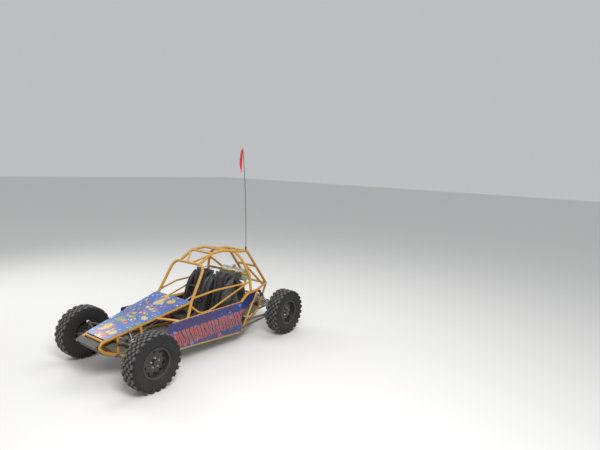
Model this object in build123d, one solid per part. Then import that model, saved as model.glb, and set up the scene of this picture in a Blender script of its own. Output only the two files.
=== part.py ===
from build123d import *
import os
from math import atan2, cos

# Open sand buggy with a welded tube frame, two seats and an engine ahead of the rear axle.
# Millimetres. X points to the driver's left, Y rearwards and Z up, with the ground at Z = 0.
# Places are measured from the front axle, and the whole car is moved to its middle when written.

# Wheels and tyres
WHEELBASE = 2770
FRONT_TRACK = 1626
REAR_TRACK = 1532
TYRE_R = 381
FRONT_TYRE_W = 235
REAR_TYRE_W = 250
LUGS = 24
LUG_L = 46
LUG_FOOT_L = 54
LUG_H = 16
LUG_SPAN = 0.86
BEAD_R = 190
RIM_W = 205
RIM_WALL = 7
RIM_LIP = 15
BEAD_GAP = 2
BEAD_SWELL = 8
RIM_DISC_T = 8
RIM_DISC_OUT = 38
RIM_HOLES = 10
RIM_HOLE_R = 21
RIM_HOLE_CIRCLE_R = 147
HUB_R = 46
HUB_CAP_R = 38
HUB_CAP_H = 36
SPINDLE_SET = 4
SPINDLE_R = 20
DISC_R = 132
DISC_T = 10
DISC_IN = 62

# Tubes of the frame
TUBE_R = 22
BRACE_R = 19
SMALL_R = 14
BEND_R = 110
HOOP_BEND_R = 135
SHOULDER_BEND_R = 80
NOSE_BEND_R = 40

BELT_R = 15
LOOP_BEND_R = 120
END_SET = 4
BELT_HEAD = 0.09
BELT_SPLAY = 62
BELT_SET = 120
LOOP_HEAD = 0.25
LOOP_END = 0.93
LOOP_FRONT = 55
LOOP_REAR = 235
V_HALF = 45
V_SHARE = 0.86

# Tow eye on the tail's cross bar
TOW_R = 26
TOW_HOLE_R = 12.5
TOW_T = 12
TOW_NECK = 30
TOW_REACH = 52

# Half widths
NOSE_HALF = 212
CHIN_HALF = 225
RAMP_HALF = 250
COCKPIT_HALF = 535
COWL_HALF = 390
HOOP_HALF = 350
ROOF_HALF = 230
STAY_HALF = 225
ROOF_SPLAY = 4
MAIN_HOOP_HALF = 495
SHOULDER_HALF = 370
RAIL_ENGINE_HALF = 465
RISE_IN = 15
ENGINE_HALF = 310
TAIL_HALF = 240

# Distances behind the front axle
NOSE_TOP_Y = -305
NOSE_TIP_Y = -392
RAMP_Y = -60
COCKPIT_FRONT_Y = 500
RAIL_OVERHANG = 50
POST_SET = 40
PIVOT_FRONT_Y = -115
PIVOT_REAR_Y = 200

# Distances ahead of the rear axle, or behind it for the tail
FIREWALL_AHEAD = 870
MAIN_HOOP_AHEAD = 705
ENGINE_FRONT_AHEAD = 650
HOOP_FOOT_AHEAD = 580
TANK_AHEAD = 470
STAY_TOP_AHEAD = 405
ENGINE_REAR_AHEAD = 380
TAIL_LOW_AHEAD = 95
TAIL_BEHIND = 110
MUFFLER_BEHIND = 318
COCKPIT_REAR_Y = WHEELBASE - FIREWALL_AHEAD
MAIN_HOOP_Y = WHEELBASE - MAIN_HOOP_AHEAD
HOOP_FOOT_Y = WHEELBASE - HOOP_FOOT_AHEAD
STAY_TOP_Y = WHEELBASE - STAY_TOP_AHEAD
ENGINE_REAR_Y = WHEELBASE - ENGINE_REAR_AHEAD
TAIL_LOW_Y = WHEELBASE - TAIL_LOW_AHEAD
TAIL_Y = WHEELBASE + TAIL_BEHIND
RISE_L = 180
BRACE_SET = 130

# The roof and windscreen, ahead of the main hoop
ROOF_REAR_AHEAD = 265
ROOF_FRONT_AHEAD = 520
HOOP_AHEAD = 777
COWL_AHEAD = 1065
HOOP_LEAN = 80
SHOULDER_SET = 5
ROOF_REAR_Y = MAIN_HOOP_Y - ROOF_REAR_AHEAD
ROOF_FRONT_Y = MAIN_HOOP_Y - ROOF_FRONT_AHEAD
HOOP_Y = MAIN_HOOP_Y - HOOP_AHEAD
COWL_Y = MAIN_HOOP_Y - COWL_AHEAD

# Shares of the way from the front axle to the cowl
PILLAR_SHARE = 0.805
BRIDGE_TOP_SHARE = 0.43
BRIDGE_FOOT_SHARE = 0.69

# Heights
NOSE_TOP_Z = 563
NOSE_TIP_Z = 520
CHIN_Z = 425
RAMP_Z = 315
FLOOR_FRONT_Z = 288
FLOOR_REAR_Z = 184
TAIL_LOW_Z = 330
SIDE_RAIL_Z = 668
COWL_Z = 853
BELT_Z = 958
HOOP_Z = 1346
ROOF_Z = 1488
ROOF_CROWN = 16
MAIN_HOOP_Z = 1452
STAY_TOP_Z = 1424
STAY_BAR_Z = 1122
SHOULDER_DROP = 95
ENGINE_FLOOR_RISE = 25
LOWER_STAY_SHARE = 0.72
LOWER_STAY_SET = 150
REAR_RAIL_Z = 783
TAIL_TOP_Z = 768
HARNESS_Z = 1085

# Sheet metal
SHEET = 3
SEAT_GAP = 0.3
SKID_HALF = 236
SKID_START = 0.45
HOOD_SET = 26
HOOD_OVER = 13
HOOD_GAP = 4
PANEL_TOP = 20
PANEL_FOOT = 10
PANEL_OVER = 10
PANEL_CUT = 150
PATCH_GAP = 6
PATCH_LOW_Z = 470
PATCH_MIDDLE_Z = 560
PATCH_FRONT_Z = 640
PATCH_REAR_Z = 690
PATCH_TOP_DROP = 21
DASH_SET = 32
DASH_IN = 16
DASH_TAPER = 40
SHAFT_BUSH_L = 44
SHAFT_BUSH_WALL = 12
DASH_LOW_Z = 700
FIREWALL_Z = 930
FIREWALL_CHAMFER = 70

# Front suspension and steering
KINGPIN_IN = 158
KINGPIN_X = FRONT_TRACK / 2 - KINGPIN_IN
UPPER_JOINT_Z = 545
LOWER_JOINT_Z = 262
ARM_R = 14
BUSH_R = 20
BUSH_L = 54
BUSH_BITE = 4
LOWER_ARM_Y = (-150, 190)
UPPER_ARM_Z = 505
EYE_R = 26
EYE_H = 40
POST_R = 24
BALL_GAP = 0.5
HUB_IN = 78
SPINDLE_ROOT_R = 36
STEER_ARM_R = 18
STEER_ARM_W = 26
BRACKET_REACH = 120
BRACKET_D = 100
BRACKET_H = 30
CALIPER_W = 52
CALIPER_ANGLE = 15
CALIPER_BITE = 22
CALIPER_D = 62
CALIPER_H = 96
RACK_OUT = 62
SHAFT_START = 45
STUD_R = 9
STUD_FIT = 0.1
STEER_ARM_Y = 112
STEER_ARM_T = 16
RACK_Z = 430
RACK_R = 14
RACK_HOUSING_R = 26
RACK_HOUSING_HALF = 200
PINION_BOX_W = 70
PINION_BOX_D = 66
PINION_BOX_RISE = 8
RACK_FOOT_X = 120
RACK_FOOT_R = 12
ROD_R = 9
ROD_EYE_R = 15
ROD_EYE_H = 18
RACK_FIT = 0.3
LINK_GAP = 5

# Steering wheel
DRIVER_X = 235
WHEEL_AHEAD = 685
WHEEL_Y = COCKPIT_REAR_Y - WHEEL_AHEAD
WHEEL_Z = 905
PINION_X = 150
SHAFT_R = 11
STEERING_WHEEL_R = 150
GRIP_R = 14
BOSS_R = 30
BOSS_H = 24
BOSS_SET = 10
SPOKE_W = 26
SPOKE_T = 6
SPOKE_SET = 4

# Dampers with their springs
SPRING_R = 36
DAMPER_R = 22
ROD_OF_DAMPER_R = 9
SPRING_TURNS = 6
SPRING_START = 0.22
SPRING_SHARE = 0.60
DAMPER_EYE_L = 44
FRONT_FOOT_IN = 110
FRONT_FOOT_RISE = 32
FRONT_HEAD_Y = 20
FRONT_HEAD_OUT = 38
FRONT_HEAD_DROP = 6
REAR_FOOT_AHEAD = 150
REAR_FOOT_DROP = 20
REAR_HEAD_SET = 40
REAR_HEAD_OUT = 30

# Seats
SEAT_W = 430
SEAT_FRONT_AHEAD = 665
SEAT_BACK_AHEAD = 240
SEAT_TOP_AHEAD = 50
SEAT_FRONT_Y = COCKPIT_REAR_Y - SEAT_FRONT_AHEAD
SEAT_BACK_Y = COCKPIT_REAR_Y - SEAT_BACK_AHEAD
SEAT_TOP_Y = COCKPIT_REAR_Y - SEAT_TOP_AHEAD
SEAT_Z = 285
SEAT_CUSHION = 110
SEAT_NOSE_RISE = 30
SEAT_FOOT_SET = 45
SEAT_FOOT_L = 60
SEAT_FOOT_H = 55
SEAT_FOOT_W = 26
SEAT_TOP_Z = 1130
BOLSTER_W = 60
BOLSTER_RISE = 75
BOLSTER_SET = 20
BOLSTER_LIFT = 4
SHOULDER_H = 480

# Engine and drive
ENGINE_FRONT_Y = WHEELBASE - ENGINE_FRONT_AHEAD
CARRIER_R = 56
CARRIER_L = 78
HUB_GAP = 2
BEARING_FIT = 0.3
CARRIER_GAP = 12
CARRIER_X = REAR_TRACK / 2 - HUB_IN - HUB_GAP - CARRIER_L
REAR_ARM_R = 19
REAR_PIVOT_OUT_AHEAD = 800
REAR_PIVOT_IN_AHEAD = 450
DIFF_HALF = 85
GEARBOX_BAR_RISE = 48
CUP_L = 48
CUP_GAP = 8
BELL_R = 150
BELL_RISE = 20
BELL_TAPER = 16
SHROUD_RISE = 130
INTAKE_R = 22
INTAKE_H = 60
CARBURETTOR_R = 34
CARBURETTOR_H = 70
FILTER_R = 56
FILTER_H = 95
EXHAUST_Z = 275
EXHAUST_X = 180
HEADER_AHEAD = 110
HEADER_RUN = 130
HEADER_BITE = 22
HEADER_BEND_R = 40
EXHAUST_BEND_R = 60
MUFFLER_Y = WHEELBASE + MUFFLER_BEHIND
MUFFLER_Z = 330
TANK_Y = WHEELBASE - TANK_AHEAD
SOCKET_R = 14
SOCKET_H = 90
SOCKET_BITE = 3
SOCKET_DROP = 10
ENGINE_L = 420
ENGINE_W = 250
ENGINE_H = 330
BANK_REACH = 220
BANK_L = 310
BANK_H = 150
BANK_SET = 15
FIN_H = 20
FIN_T = 8
FINS = 6
SHROUD_R = 205
SHROUD_T = 110
FAN_R = 95
FAN_D = 50
FAN_HUB_R = 43
GEARBOX_W = 190
GEARBOX_H = 162
GEARBOX_PAD_R = 30
RIB_H = 8
RIB_T = 10
GEARBOX_L = 190
DIFF_R = 125
SHAFT_JOINT_R = 52
HALF_SHAFT_R = 15
EXHAUST_R = 21
MUFFLER_R = 58
MUFFLER_HALF = 215
TANK_R = 100
TANK_L = 540
TANK_Z = 1015
NECK_H = 28
NECK_R = 32

# Whip aerial and its flag
WHIP_L = 1760
WHIP_R = 5
WHIP_LEAN = 95
FLAG_L = 400
FLAG_W = 60
FLAG_T = 12
FLAG_DROP = 15
FLAG_SLEEVE_L = 60
FLAG_HEM = 3
FLAG_FIT = 0.5


# Frame joints on the left side
def joint(x, y, z):
    return Vector(x, y, z)


nose_top = joint(NOSE_HALF, NOSE_TOP_Y, NOSE_TOP_Z)
nose_tip = joint(CHIN_HALF, NOSE_TIP_Y, NOSE_TIP_Z)
chin = joint(CHIN_HALF, NOSE_TOP_Y, CHIN_Z)
ramp = joint(RAMP_HALF, RAMP_Y, RAMP_Z)
floor_front = joint(COCKPIT_HALF, COCKPIT_FRONT_Y, FLOOR_FRONT_Z)
floor_rear = joint(COCKPIT_HALF, COCKPIT_REAR_Y, FLOOR_REAR_Z)
engine_floor = joint(ENGINE_HALF, ENGINE_REAR_Y, FLOOR_REAR_Z + ENGINE_FLOOR_RISE)
tail_low = joint(TAIL_HALF, TAIL_LOW_Y, TAIL_LOW_Z)
rail_front = joint(COCKPIT_HALF, COCKPIT_FRONT_Y - RAIL_OVERHANG, SIDE_RAIL_Z)
rail_rear = joint(COCKPIT_HALF, COCKPIT_REAR_Y, SIDE_RAIL_Z)
rail_rise = joint(COCKPIT_HALF - RISE_IN, COCKPIT_REAR_Y + RISE_L, REAR_RAIL_Z)
rail_engine = joint(RAIL_ENGINE_HALF, ENGINE_REAR_Y, REAR_RAIL_Z)
tail_top = joint(TAIL_HALF, TAIL_Y, TAIL_TOP_Z)
cowl = joint(COWL_HALF, COWL_Y, COWL_Z)
hoop_top = joint(HOOP_HALF, HOOP_Y, HOOP_Z)
roof_start = joint(ROOF_HALF - ROOF_SPLAY, HOOP_Y, HOOP_Z)
roof_front = joint(ROOF_HALF, ROOF_FRONT_Y, ROOF_Z)
roof_rear = joint(ROOF_HALF - ROOF_SPLAY, ROOF_REAR_Y, ROOF_Z + ROOF_CROWN)
main_top = joint(STAY_HALF, MAIN_HOOP_Y, MAIN_HOOP_Z)
stay_top = joint(STAY_HALF, STAY_TOP_Y, STAY_TOP_Z)
hoop_knee = joint(MAIN_HOOP_HALF, MAIN_HOOP_Y + HOOP_LEAN, HARNESS_Z)
hoop_shoulder = joint(SHOULDER_HALF, MAIN_HOOP_Y + SHOULDER_SET, MAIN_HOOP_Z - SHOULDER_DROP)


def between(a, b, share):
    """The point a share of the way from a to b."""
    return a + (b - a) * share


def at_y(a, b, y):
    """The point between a and b at a distance y behind the front axle."""
    return between(a, b, (y - a.Y) / (b.Y - a.Y))


def at_z(a, b, z):
    """The point between a and b at a height z."""
    return between(a, b, (z - a.Z) / (b.Z - a.Z))


def past(a, b, distance):
    """The point at a distance from a on the way to b."""
    return a + (b - a).normalized() * distance


def right(point):
    """The same joint on the right side."""
    return Vector(-point.X, point.Y, point.Z)


over_gearbox = at_z(tail_low, tail_top, TYRE_R + DIFF_R + GEARBOX_BAR_RISE)
rail_hoop = at_y(rail_rise, rail_engine, HOOP_FOOT_Y)
wheel_hub = joint(DRIVER_X, WHEEL_Y, WHEEL_Z)
pinion = joint(PINION_X, STEER_ARM_Y, RACK_Z + RACK_HOUSING_R)


def tube(points, radius, bends=BEND_R):
    """A round bar along straight runs that arcs join."""
    if len(points) == 2:
        path = Line(*points)
    else:
        path = FilletPolyline(*points, radius=bends)
    start = Plane(origin=points[0], z_dir=points[1] - points[0])
    return sweep(start * Circle(radius), path=path).solid()


def main_piece(shape):
    """The largest solid, without the scraps that a cut leaves."""
    return max(shape.solids(), key=lambda solid: solid.volume)


def cope(shape, *carriers):
    """Fit a shape's ends to the surfaces of what carries it."""
    for carrier in carriers:
        shape = shape - carrier
    return main_piece(shape)


def mirrored(shape):
    return mirror(shape, about=Plane.YZ).solid()


def pair(shape):
    """The left piece and its right-hand twin."""
    return [shape, mirrored(shape)]


def cylinder(a, b, radius):
    """A straight bar from a to b."""
    return tube([a, b], radius)


def side_profile(points):
    """A closed outline in the YZ plane, given as (y, z)."""
    return make_face(Polyline(*[Vector(0, y, z) for y, z in points], close=True))


def extruded_across(points, half):
    """A profile given as (y, z), carried across the car."""
    return extrude(side_profile(points), amount=half, dir=(1, 0, 0), both=True).solid()


# Frame tubes
def make_lower_rail():
    points = [nose_top, nose_tip, chin, ramp, floor_front, floor_rear, engine_floor, tail_low]
    bends = [NOSE_BEND_R, NOSE_BEND_R, BEND_R, BEND_R, BEND_R, BEND_R]
    return tube(points, TUBE_R, bends)


def make_side_rail(lower_rail):
    post_foot = at_y(floor_front, floor_rear, COCKPIT_FRONT_Y + POST_SET)
    points = [past(post_foot, rail_front, END_SET), rail_front, rail_rear, rail_rise, rail_engine, tail_top]
    return cope(tube(points, TUBE_R, [BEND_R] * 4), lower_rail)


def make_hood_rail(lower_rail, hoop):
    return cope(tube([nose_top, past(cowl, nose_top, -END_SET)], TUBE_R), lower_rail, hoop)


def make_windscreen_hoop():
    foot = cowl + (cowl - hoop_top).normalized() * TUBE_R
    return tube([foot, hoop_top, right(hoop_top), right(foot)], TUBE_R, [HOOP_BEND_R] * 2)


def make_main_hoop(side_rails):
    half = [past(rail_hoop, hoop_knee, END_SET), hoop_knee, hoop_shoulder, main_top]
    bends = [BEND_R, BEND_R, SHOULDER_BEND_R]
    points = half + [right(place) for place in half[::-1]]
    hoop = tube(points, TUBE_R, bends + bends[::-1])
    return cope(hoop, *side_rails)


def make_roof_rail(windscreen_hoop, main_hoop):
    points = [past(roof_start, roof_front, END_SET), roof_front, roof_rear, main_top]
    return cope(tube(points, TUBE_R, [BEND_R] * 2), windscreen_hoop, main_hoop)


def make_rear_stay(main_hoop, side_rail, roof_rail):
    points = [past(main_top, stay_top, END_SET), stay_top, past(tail_top, stay_top, END_SET)]
    return cope(tube(points, TUBE_R, BEND_R), main_hoop, side_rail, roof_rail)


def make_lower_stay(main_hoop, side_rail):
    """A brace from the main hoop's shoulder down to the side rail near the tail."""
    head = between(hoop_knee, hoop_shoulder, LOWER_STAY_SHARE)
    foot = at_y(rail_engine, tail_top, TAIL_Y - LOWER_STAY_SET)
    return cope(tube([head, foot], BRACE_R), main_hoop, side_rail)


def make_roof_bars(top_rails, windscreen_hoop):
    """Cross bars between the roof rails and the rear stays, and the V that braces the windscreen hoop."""
    across = [roof_front, roof_rear, stay_top, at_z(stay_top, tail_top, STAY_BAR_Z)]
    bars = [cope(tube([right(place), place], BRACE_R), *top_rails) for place in across]
    v_foot = joint(V_HALF, HOOP_Y, HOOP_Z)
    v_head = between(roof_start, roof_front, V_SHARE)
    brace = cope(tube([past(v_foot, v_head, END_SET), v_head], SMALL_R), windscreen_hoop, *top_rails)
    return bars + pair(brace)


def make_tow_bar(rails):
    """The tail's cross bar with its tow eye, an upright plate with a round hole."""
    bar = cope(tube([right(tail_top), tail_top], BRACE_R), *rails)
    neck = Pos(0, TAIL_Y + TOW_REACH / 2, TAIL_TOP_Z) * Box(TOW_T, TOW_REACH, TOW_NECK)
    eye_place = Pos(0, TAIL_Y + TOW_REACH, TAIL_TOP_Z) * Rot(0, 90, 0)
    plate = neck + eye_place * Cylinder(TOW_R, TOW_T)
    return main_piece(bar + plate - eye_place * Cylinder(TOW_HOLE_R, 2 * TOW_T))


def make_door_tubes(hoop, hood_rail, side_rail, main_hoop):
    """The pillar's foot, the belt tube, the looped door bar and the nose bridge of one side."""
    foot = at_y(rail_front, rail_rear, COWL_Y * PILLAR_SHARE)
    pillar = cope(tube([cowl, past(foot, cowl, END_SET)], TUBE_R), hoop, hood_rail, side_rail)
    belt_start = between(cowl, hoop_top, BELT_HEAD)
    belt_mid = joint(COWL_HALF + BELT_SPLAY, HOOP_Y + BELT_SET, BELT_Z)
    belt_end = at_z(rail_hoop, hoop_knee, BELT_Z)
    belt = cope(tube([belt_start, belt_mid, belt_end], BELT_R, BEND_R * 2), hoop, main_hoop)
    loop_z = SIDE_RAIL_Z + TUBE_R
    loop = tube(
        [
            between(cowl, foot, LOOP_HEAD),
            joint(COCKPIT_HALF - SMALL_R, COWL_Y + LOOP_FRONT, loop_z),
            joint(COCKPIT_HALF - SMALL_R, COWL_Y + LOOP_REAR, loop_z),
            between(belt_mid, belt_end, LOOP_END),
        ],
        SMALL_R,
        LOOP_BEND_R,
    )
    bridge_top = at_y(nose_top, cowl, COWL_Y * BRIDGE_TOP_SHARE)
    bridge_foot = at_y(rail_front, rail_rear, COWL_Y * BRIDGE_FOOT_SHARE)
    bridge = cope(tube([bridge_top, bridge_foot], BRACE_R), hood_rail, side_rail)
    return [pillar, belt, cope(loop, pillar, belt, side_rail), bridge]


def make_cross_bars(rails):
    places = [
        nose_top,
        chin,
        ramp,
        at_y(ramp, floor_front, PIVOT_REAR_Y),
        floor_front,
        at_y(floor_front, floor_rear, SEAT_FRONT_Y),
        floor_rear,
        engine_floor,
    ]
    return [cope(tube([right(place), place], BRACE_R), *rails) for place in places]


def post_ends(y):
    """The foot and head of the nose post at a distance y behind the front axle."""
    foot = at_y(chin, ramp, y) if y < RAMP_Y else at_y(ramp, floor_front, y)
    return foot, at_y(nose_top, cowl, y)


def make_nose_posts(lower_rail, hood_rail, bars):
    """Posts from the lower rail to the hood rail, which carry the upper arms."""
    carriers = [lower_rail, hood_rail] + bars
    return [cope(tube([*post_ends(y)], BRACE_R), *carriers) for y in (PIVOT_FRONT_Y, PIVOT_REAR_Y)]


def make_rear_bars(main_hoop, carriers):
    """Upright bars behind the seats and at the tail, the bar over the gearbox and the harness bar."""
    runs = [
        (floor_rear, rail_rear),
        (tail_low, past(tail_top, tail_low, END_SET)),
        (at_y(floor_rear, engine_floor, COCKPIT_REAR_Y + BRACE_SET), rail_engine),
    ]
    bars = []
    for a, b in runs:
        bars += pair(cope(tube([a, b], BRACE_R), *carriers))
    tail_posts = bars[2:4]
    end = past(over_gearbox, right(over_gearbox), END_SET)
    bars.append(cope(tube([right(end), end], BRACE_R), *tail_posts))
    bars.append(cope(tube([right(hoop_knee), hoop_knee], BRACE_R), main_hoop))
    return bars


# Sheet metal
def mitred(points, distance):
    """A line of (y, z) points moved sideways by a distance, with its corners kept sharp."""
    runs = [(Vector(*b) - Vector(*a)).normalized() for a, b in zip(points, points[1:])]
    moved = []
    for index, point in enumerate(points):
        before = runs[max(index - 1, 0)]
        after = runs[min(index, len(runs) - 1)]
        side = (Vector(-before.Y, before.X) + Vector(-after.Y, after.X)).normalized()
        reach = distance / side.dot(Vector(-after.Y, after.X))
        moved.append((point[0] + side.X * reach, point[1] + side.Y * reach))
    return moved


def profile_of(*joints):
    return [(place.Y, place.Z) for place in joints]


def skin(joints, side, half):
    """A bent sheet that lies on the outside of a row of frame joints."""
    row = profile_of(*joints)
    inner = mitred(row, side * (TUBE_R + SEAT_GAP))
    outer = mitred(row, side * (TUBE_R + SEAT_GAP + SHEET))
    return extruded_across(inner + outer[::-1], half)


def make_hood():
    along = Vector(0, cowl.Y - nose_top.Y, cowl.Z - nose_top.Z).normalized()
    up = Vector(0, -along.Z, along.Y)
    lift = up * (TUBE_R + SEAT_GAP)
    front = nose_top + along * HOOD_SET + Vector(HOOD_OVER, 0, 0) + lift
    rear = cowl - along * (TUBE_R + HOOD_GAP) + Vector(HOOD_OVER, 0, 0) + lift
    outline = [right(front), front, rear, right(rear)]
    face = make_face(Polyline(*outline, close=True))
    return extrude(face, amount=SHEET, dir=up).solid()


def make_side_panel():
    x = COCKPIT_HALF + TUBE_R + SEAT_GAP
    top = SIDE_RAIL_Z + PANEL_TOP
    front_low = at_y(floor_front, floor_rear, COCKPIT_FRONT_Y + POST_SET)
    rear = COCKPIT_REAR_Y + PANEL_OVER
    rear_low = at_y(floor_front, floor_rear, rear)
    points = [
        (x, rail_front.Y, top),
        (x, rear, top),
        (x, rear, rear_low.Z + PANEL_FOOT),
        (x, front_low.Y, front_low.Z + PANEL_FOOT),
        (x, rail_front.Y - TUBE_R, top - PANEL_CUT),
    ]
    face = make_face(Polyline(*points, close=True))
    return extrude(face, amount=SHEET, dir=(1, 0, 0)).solid()


def make_rear_panel(side_rail, main_bars):
    """The patch under the rear rail, ahead of the wheel."""
    front = Vector(rail_rear.X - PATCH_GAP, rail_rear.Y + BRACE_R + PATCH_GAP, 0)
    rear = Vector(rail_engine.X, rail_engine.Y - PATCH_GAP, 0)
    along = rear - front
    # share of the way rearwards, height
    top = REAR_RAIL_Z - PATCH_TOP_DROP
    front_corners = [(0, PATCH_LOW_Z), (0, PATCH_FRONT_Z), (0.33, top)]
    corners = front_corners + [(1, top), (1, PATCH_REAR_Z), (0.5, PATCH_MIDDLE_Z)]
    points = [front + along * share + Vector(0, 0, z) for share, z in corners]
    face = make_face(Polyline(*points, close=True))
    panel = extrude(face, amount=SHEET / 2, dir=Vector(along.Y, -along.X, 0).normalized(), both=True)
    return cope(panel, side_rail, *main_bars)


def make_nose_skid():
    return skin([between(nose_top, nose_tip, SKID_START), nose_tip, chin, ramp], -1, SKID_HALF)


def make_floor_pan():
    pan = skin([ramp, floor_front, floor_rear, engine_floor], -1, COCKPIT_HALF)
    plan = [(row.X, row.Y) for row in (ramp, floor_front, floor_rear, engine_floor)]
    outline = [Vector(x, y, 0) for x, y in plan] + [Vector(-x, y, 0) for x, y in plan[::-1]]
    return main_piece(pan & extrude(make_face(Polyline(*outline, close=True)), amount=SIDE_RAIL_Z))


def make_dash(hoop, hood_rails):
    y = COWL_Y - DASH_SET
    half = COWL_HALF - DASH_IN
    low = half - DASH_TAPER
    points = [(-half, y, COWL_Z), (half, y, COWL_Z), (low, y, DASH_LOW_Z), (-low, y, DASH_LOW_Z)]
    sheet = extrude(make_face(Polyline(*points, close=True)), amount=SHEET, dir=(0, 1, 0)).solid()
    dash = cope(sheet, hoop, *hood_rails)
    centre = at_y(wheel_hub, pinion, y)
    half_bush = (wheel_hub - pinion).normalized() * SHAFT_BUSH_L / 2
    dash = dash + cylinder(centre - half_bush, centre + half_bush, SHAFT_R + SHAFT_BUSH_WALL)
    return main_piece(dash - cylinder(centre - half_bush * 4, centre + half_bush * 4, SHAFT_R + RACK_FIT))


def make_firewall():
    y = COCKPIT_REAR_Y - BRACE_R - SEAT_GAP - SHEET
    half = COCKPIT_HALF - TUBE_R - SEAT_GAP
    low = FLOOR_REAR_Z + TUBE_R
    outline = [
        (half, low),
        (half, SIDE_RAIL_Z),
        (half - FIREWALL_CHAMFER, FIREWALL_Z - FIREWALL_CHAMFER),
        (half - 2 * FIREWALL_CHAMFER, FIREWALL_Z),
    ]
    points = [Vector(x, y, z) for x, z in outline] + [Vector(-x, y, z) for x, z in outline[::-1]]
    return extrude(make_face(Polyline(*points, close=True)), amount=SHEET, dir=(0, 1, 0)).solid()


# Seats
def make_seat(centre_x):
    """A bucket seat: cushion and back in one shell, with raised bolsters on both sides."""
    t = SEAT_CUSHION
    lean = (SEAT_TOP_Y - SEAT_BACK_Y) / (SEAT_TOP_Z - SEAT_Z)
    pad = [
        (SEAT_FRONT_Y, SEAT_Z + SEAT_NOSE_RISE),
        (SEAT_FRONT_Y, SEAT_Z + SEAT_NOSE_RISE + t),
        (SEAT_BACK_Y - t, SEAT_Z + t),
        (SEAT_TOP_Y - t, SEAT_TOP_Z),
        (SEAT_TOP_Y, SEAT_TOP_Z),
        (SEAT_BACK_Y, SEAT_Z),
    ]
    rise = BOLSTER_RISE
    start = SEAT_FRONT_Y + BOLSTER_SET
    back = SEAT_BACK_Y - t - rise
    wing = [
        (start, SEAT_Z + SEAT_NOSE_RISE + BOLSTER_LIFT),
        (start, SEAT_Z + SEAT_NOSE_RISE + t + rise * 0.6),
        (back, SEAT_Z + t + rise),
        (back + lean * SHOULDER_H, SEAT_Z + t + SHOULDER_H),
        (SEAT_TOP_Y - t - BOLSTER_SET / 2, SEAT_TOP_Z - BOLSTER_W),
        (SEAT_TOP_Y - BOLSTER_SET / 2, SEAT_TOP_Z - BOLSTER_W),
        (SEAT_BACK_Y, SEAT_Z + BOLSTER_LIFT),
    ]
    seat = extruded_across(pad, SEAT_W / 2 - BOLSTER_W)
    side = extrude(side_profile(wing), amount=BOLSTER_W, dir=(1, 0, 0))
    seat = seat + side.moved(Location((SEAT_W / 2 - BOLSTER_W, 0, 0)))
    seat = seat + side.moved(Location((-SEAT_W / 2, 0, 0)))
    return seat.solid().moved(Location((centre_x, 0, 0)))


def floor_z(y):
    """The top of the floor pan under the cockpit."""
    slope = (FLOOR_REAR_Z - FLOOR_FRONT_Z) / (COCKPIT_REAR_Y - COCKPIT_FRONT_Y)
    level = FLOOR_FRONT_Z + slope * (y - COCKPIT_FRONT_Y)
    return level - (TUBE_R + SEAT_GAP) / cos(atan2(slope, 1))


def make_seat_feet(centre_x):
    """Two upright plates with feet, which carry a seat on the floor pan."""
    front = SEAT_FRONT_Y + SEAT_FOOT_SET
    rear = SEAT_BACK_Y - SEAT_FOOT_SET
    outline = [
        (front, floor_z(front)),
        (front, seat_under(front)),
        (rear, seat_under(rear)),
        (rear, floor_z(rear)),
        (rear - SEAT_FOOT_L, floor_z(rear - SEAT_FOOT_L)),
        (rear - SEAT_FOOT_L, floor_z(rear - SEAT_FOOT_L) + SEAT_FOOT_H),
        (front + SEAT_FOOT_L, floor_z(front + SEAT_FOOT_L) + SEAT_FOOT_H),
        (front + SEAT_FOOT_L, floor_z(front + SEAT_FOOT_L)),
    ]
    plate = extruded_across(outline, SEAT_FOOT_W / 2)
    reach = SEAT_W / 2 - BOLSTER_W
    return [plate.moved(Location((centre_x + side * reach, 0, 0))) for side in (1, -1)]


def seat_under(y):
    """The height just under a seat's cushion."""
    share = (y - SEAT_FRONT_Y) / (SEAT_BACK_Y - SEAT_FRONT_Y)
    return SEAT_Z + SEAT_NOSE_RISE * (1 - share) - SEAT_GAP


# Front suspension
def make_arm(pivots, z, carriers):
    """A tubular wishbone: two bushes at the frame, two legs and the eye at the kingpin."""
    end = Vector(KINGPIN_X, 0, z)
    half_bush = Vector(0, BUSH_L / 2, 0)
    half_eye = Vector(0, 0, EYE_H / 2)
    arm = cylinder(end - half_eye, end + half_eye, EYE_R)
    for pivot in pivots:
        leg = cylinder(past(end, pivot, 2 * STUD_R), pivot, ARM_R)
        arm = arm + leg + cylinder(pivot - half_bush, pivot + half_bush, BUSH_R)
    arm = arm - cylinder(end - half_eye * 2, end + half_eye * 2, STUD_R + STUD_FIT)
    return cope(arm, *carriers)


def make_front_arms(lower_rail, posts):
    reach = Vector(BRACE_R + BUSH_R - BUSH_BITE, 0, 0)
    upper = [at_z(*post_ends(y), UPPER_ARM_Z) + reach for y in (PIVOT_FRONT_Y, PIVOT_REAR_Y)]
    lower = []
    for a, b, y in ((chin, ramp, LOWER_ARM_Y[0]), (ramp, floor_front, LOWER_ARM_Y[1])):
        lower.append(at_y(a, b, y) + Vector(TUBE_R + BUSH_R - BUSH_BITE, 0, 0))
    carriers = [lower_rail] + posts
    return make_arm(upper, UPPER_JOINT_Z, carriers), make_arm(lower, LOWER_JOINT_Z, carriers)


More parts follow.
